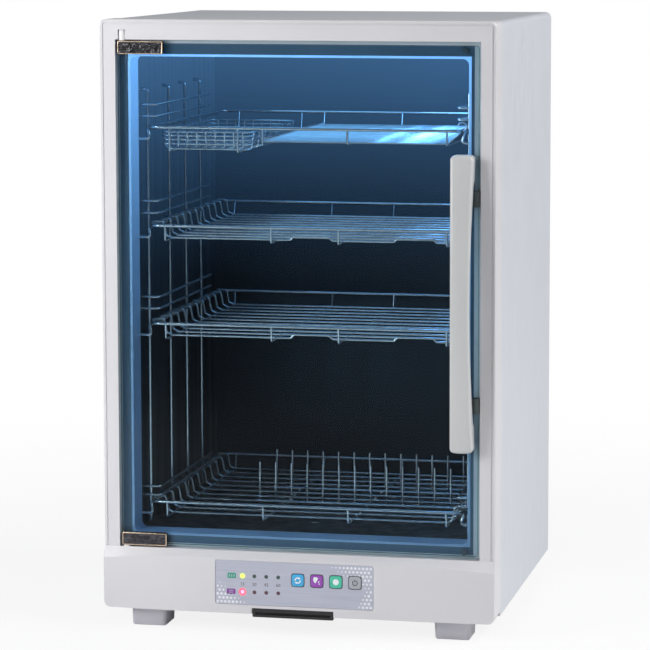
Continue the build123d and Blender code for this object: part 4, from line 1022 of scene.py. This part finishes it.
class CABINET_OT_controls(Operator):
    """Key panel: overlay, pattern, numbers, keys with symbols and lamps, and the drip tray"""

    bl_idname = "cabinet.controls"
    bl_label = "Controls"

    def execute(self, context):
        look = context.scene.cabinet_panel
        finish_nodes(metallic_film("panel_film", look.film), "display_panel")
        finish_nodes(moulded("board_lacquer", (0.02, 0.10, 0.05), 0.4), "control_board")
        self.pattern(look)
        self.labels()
        self.minutes(look)
        self.lamps()
        self.keys(look)
        smoked = moulded("smoked_tray", (0.008, 0.007, 0.008), 0.22, 0.25, 0.02)
        finish_nodes(smoked, "drip_tray")
        return {"FINISHED"}

    def on_film(self, name, outlines, depth, material, thickness=PRINT):
        """A printed mark that belongs to the panel's film."""
        placed(printed(name, outlines, depth, material, thickness), "cabinet", "panel_film")

    def pattern(self, look):
        """Pale dots that fade across three corners of the overlay."""
        margin, largest = 0.003, 0.0018
        x0, x1 = PANEL_LOW[0] + margin, PANEL_HIGH[0] - margin
        z0, z1 = PANEL_LOW[2] + margin, PANEL_HIGH[2] - margin
        outlines = []
        pitch = look.dot_pitch
        columns, rows = int((x1 - x0) / pitch) + 1, int((z1 - z0) / pitch) + 1
        for column in range(columns):
            for row in range(rows):
                x = x0 + column * pitch + (pitch / 2 if row % 2 else 0)
                z = z0 + row * pitch
                lower = 1 - ((x - x0) * 0.9 + (z - z0) * 1.25) / 0.036
                upper = 1 - ((x1 - x) * 0.8 + (z1 - z) * 1.3) / 0.046
                side = 1 - ((x1 - x) * 1.5 + (z - z0) * 0.75) / 0.030
                strength = max(lower, upper, side)
                if strength > 0.04 and x < x1 and z < z1:
                    outlines.append(disc(x, z, largest * min(1, 0.30 + strength * 1.5), 12))
        self.on_film("overlay_dots", outlines, PANEL_FACE, ink("dot_ink", look.dot))

    def labels(self):
        """Two plain coloured labels with pale bars."""
        green_x, purple_x = -0.0841, -0.0850
        for name, x, z, colour in (
            ("label_green", green_x, UPPER_ROW, (0.05, 0.34, 0.24)),
            ("label_purple", purple_x, LOWER_LABEL, (0.26, 0.05, 0.36)),
        ):
            outline = rounded(x, z, 0.0114, 0.0070, 0.0013, 4)
            self.on_film(name, [outline], PANEL_FACE, ink(name + "_ink", colour))
        pale = ink("label_mark_ink", (0.52, 0.60, 0.62))
        bars = []
        for shift in (-0.0032, 0, 0.0032):
            bars.append(rounded(green_x + shift, UPPER_ROW, 0.0010, 0.0034, 0.0004, 3))
        for shift in (-0.0012, 0.0012):
            bars.append(rounded(purple_x, LOWER_LABEL + shift, 0.0062, 0.0008, 0.0003, 3))
        self.on_film("label_marks", bars, PANEL_FACE - PRINT, pale)

    def minutes(self, look):
        """The drying times between the two rows of lamps."""
        dark = ink("number_ink", look.ink)
        for index, text in enumerate(("15", "30", "45", "60")):
            font = bpy.data.curves.new("minutes_" + text, "FONT")
            font.body = text
            font.size = 0.0060
            font.align_x = "CENTER"
            font.align_y = "CENTER"
            font.extrude = 0.00002
            source = bpy.data.objects.new("minutes_source", font)
            bpy.context.scene.collection.objects.link(source)
            source.rotation_euler = (math.pi / 2, 0, 0)
            source.location = (LAMP_FIRST + index * LAMP_PITCH, PANEL_FACE - 0.00003, NUMBER_ROW)
            bpy.context.view_layer.update()
            solid = source.evaluated_get(bpy.context.evaluated_depsgraph_get())
            mesh = bpy.data.meshes.new_from_object(solid)
            mesh.transform(source.matrix_world)
            bpy.data.objects.remove(source)
            mesh.materials.clear()
            placed(object_from("minutes_" + text, mesh, [dark]), "cabinet", "panel_film")

    def lamps(self):
        """Domed lenses; the first of each row is lit."""
        radius, dome, steps = 0.0025, 0.0007, 6
        profile = [(radius, PANEL_FACE + 0.0004)]
        profile += [(u, PANEL_FACE - v * dome / radius) for u, v in arc(0, 0, radius, 0, 90, steps)[:-1]]
        profile.append((0.0002, PANEL_FACE - dome))
        rows = (
            ("upper", UPPER_ROW, (0.70, 1.0, 0.10), (0.055, 0.095, 0.090), "led_green", 1.6, 0.0042),
            ("lower", LOWER_LAMPS, (1.0, 0.10, 0.17), (0.130, 0.060, 0.080), "led_red", 6.0, 0.0062),
        )
        for row, z, lit, dark, slot, strength, bloom in rows:
            finish_nodes(lens("lamp_body_" + row, dark), "led_row_" + row)
            glow = lens("lamp_lit_" + row, lit, strength)
            off = lens("lamp_off_" + row, dark)
            for index in range(4):
                axis = (LAMP_FIRST + index * LAMP_PITCH, z)
                name = "lens_%s_%d" % (row, index + 1)
                piece = turned(name, axis, profile, off if index else glow, 20, upright=False)
                placed(piece, "cabinet", slot)
            self.halo("halo_" + row, LAMP_FIRST, z, lit, bloom)

    def halo(self, name, x, z, colour, radius):
        """The soft bloom round a lit lens, as light spilt on the film."""
        material, tree, shader = blank(name + "_glow")
        inputs = {0: own_place(tree), 1: (x, PANEL_FACE, z)}
        reach = node(tree, "VectorMath", inputs, operation="DISTANCE").outputs["Value"]
        cover = ranged(tree, reach, 0.0012, radius, 0.75, 0.0, interpolation_type="SMOOTHSTEP")
        tree.links.new(cover, shader.inputs["Alpha"])
        uneven(tree, shader, colour, (200.0, 0.05))
        shader.inputs["Emission Color"].default_value = (*colour, 1)
        shader.inputs["Emission Strength"].default_value = 1.0
        shader.inputs["Roughness"].default_value = 0.6
        self.on_film(name, [disc(x, z, radius, 32)], PANEL_FACE - 0.00005, material, 0.00002)

    def keys(self, look):
        """Rounded key caps with a raised coloured face and a white symbol."""
        white = ink("symbol_ink", (0.86, 0.90, 0.92), 0.35)
        grey = ink("symbol_grey", (0.035, 0.04, 0.05), 0.4)
        for kind, slot, symbol in (
            ("auto", "key_blue", white),
            ("dry", "key_purple", white),
            ("sterilise", "key_green", white),
            ("power", "key_grey", grey),
        ):
            name, body, colour = "button_" + kind, kind + "_key", getattr(look, kind)
            low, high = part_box(name)
            centre, size = middle_and_size(low, high)
            rim = moulded(name + "_rim", tuple(0.35 * c + 0.03 for c in colour), 0.35, 0.2, 0.02)
            cap = moulded(name + "_cap", colour, 0.26, 0.4, 0.02)
            front, shoulder, back = low[1], high[1] - 0.0012, high[1]
            wide = (size[0] - KEY_WIDTH) / 2
            layers = (
                (0.0030, front + 0.00022),
                (0.0022, front + 0.00006),
                (0.0009, front + 0.00002),
                (0.0002, front + 0.0004),
                (0, front + 0.0009),
                (0, shoulder),
                (-wide, shoulder),
                (-wide, back),
            )
            bands, face = (0, 0, 0, 1, 1, 1, 1), (KEY_WIDTH, KEY_WIDTH)
            piece = plate("cap_" + name, centre, face, 0.0038, layers, [cap, rim], bands, (0, 1))
            placed(piece, body, slot, name)
            self.bezel("bezel_" + name, centre, look)
            marks = getattr(self, "mark_" + kind)(*centre)
            placed(printed("symbol_" + name, marks, front + 0.00020, symbol), body, slot)

    def bezel(self, name, centre, look):
        """Thin dark printed line round a key."""
        outer = rounded(*centre, 0.0178, 0.0178, 0.0046)
        inner = rounded(*centre, 0.0161, 0.0161, 0.0038)
        dark = ink(name + "_ink", look.ink)
        piece = flat_ring(name, outer, inner, PANEL_FACE - 0.0001, PANEL_FACE, dark)
        placed(piece, "cabinet", "panel_film")

    def mark_auto(self, x, z):
        """Two arrows that chase each other."""
        inner, outer, wide, point = 0.0025, 0.0041, 0.0017, 0.0030
        middle = (inner + outer) / 2
        marks = []
        for turn in (70, 250):
            marks.append(arc_band(x, z, inner, outer, turn, turn + 115))
            across, up = math.cos(math.radians(turn)), math.sin(math.radians(turn))
            tip = (x + middle * across + point * up, z + middle * up - point * across)
            sides = [(x + reach * across, z + reach * up) for reach in (middle + wide, middle - wide)]
            marks.append([tip, *sides])
        return marks

    def mark_dry(self, x, z):
        """A fan of warm air over two drops of heat."""
        reach, squash = 0.0060, 0.9
        fan = [(x + 0.0014 + u, z + 0.0020 + v * squash) for u, v in arc(0, 0, reach, 120, 240, 12)]
        fan.append((x + 0.0018, z + 0.0036))
        return [fan, disc(x + 0.0026, z - 0.0008, 0.0009, 12), disc(x + 0.0032, z - 0.0034, 0.0008, 12)]

    def mark_sterilise(self, x, z):
        """A plain round lamp."""
        return [disc(x, z, 0.0038, 28)]

    def mark_power(self, x, z):
        """A broken ring with a bar."""
        bar = rounded(x, z + 0.0026, 0.0011, 0.0038, 0.0004, 3)
        return [arc_band(x, z, 0.0027, 0.0037, 120, 420, 26), bar]


# ---- panel, registration and run ----------------------------------------------------------------

GROUPS = {
    "cabinet_finish": CabinetFinish,
    "cabinet_wires": WireSizes,
    "cabinet_panel": PanelLook,
    "cabinet_stage": StageLook,
}
STEPS = (
    CABINET_OT_stage,
    CABINET_OT_casing,
    CABINET_OT_chamber,
    CABINET_OT_door,
    CABINET_OT_shelves,
    CABINET_OT_racks,
    CABINET_OT_controls,
)


class CABINET_PT_sidebar(Panel):
    """Sizes, colours and steps of the dish steriliser"""

    bl_idname = "CABINET_PT_sidebar"
    bl_label = "Dish steriliser"
    bl_space_type = "VIEW_3D"
    bl_region_type = "UI"
    bl_category = "Cabinet"

    def draw(self, context):
        layout = self.layout
        for group in GROUPS:
            settings = getattr(context.scene, group)
            box = layout.box()
            for name in settings.__annotations__:
                box.prop(settings, name)
        for step in STEPS:
            layout.operator(step.bl_idname)


CLASSES = (*GROUPS.values(), *STEPS, CABINET_PT_sidebar)


def register():
    for each in CLASSES:
        bpy.utils.register_class(each)
    for name, group in GROUPS.items():
        setattr(bpy.types.Scene, name, PointerProperty(type=group))


def unregister():
    for name in GROUPS:
        delattr(bpy.types.Scene, name)
    for each in reversed(CLASSES):
        bpy.utils.unregister_class(each)


def main():
    register()
    bpy.ops.cabinet.stage()
    bpy.ops.cabinet.casing()
    bpy.ops.cabinet.chamber()
    bpy.ops.cabinet.door()
    bpy.ops.cabinet.shelves()
    bpy.ops.cabinet.racks()
    bpy.ops.cabinet.controls()


if __name__ == "__main__":
    main()
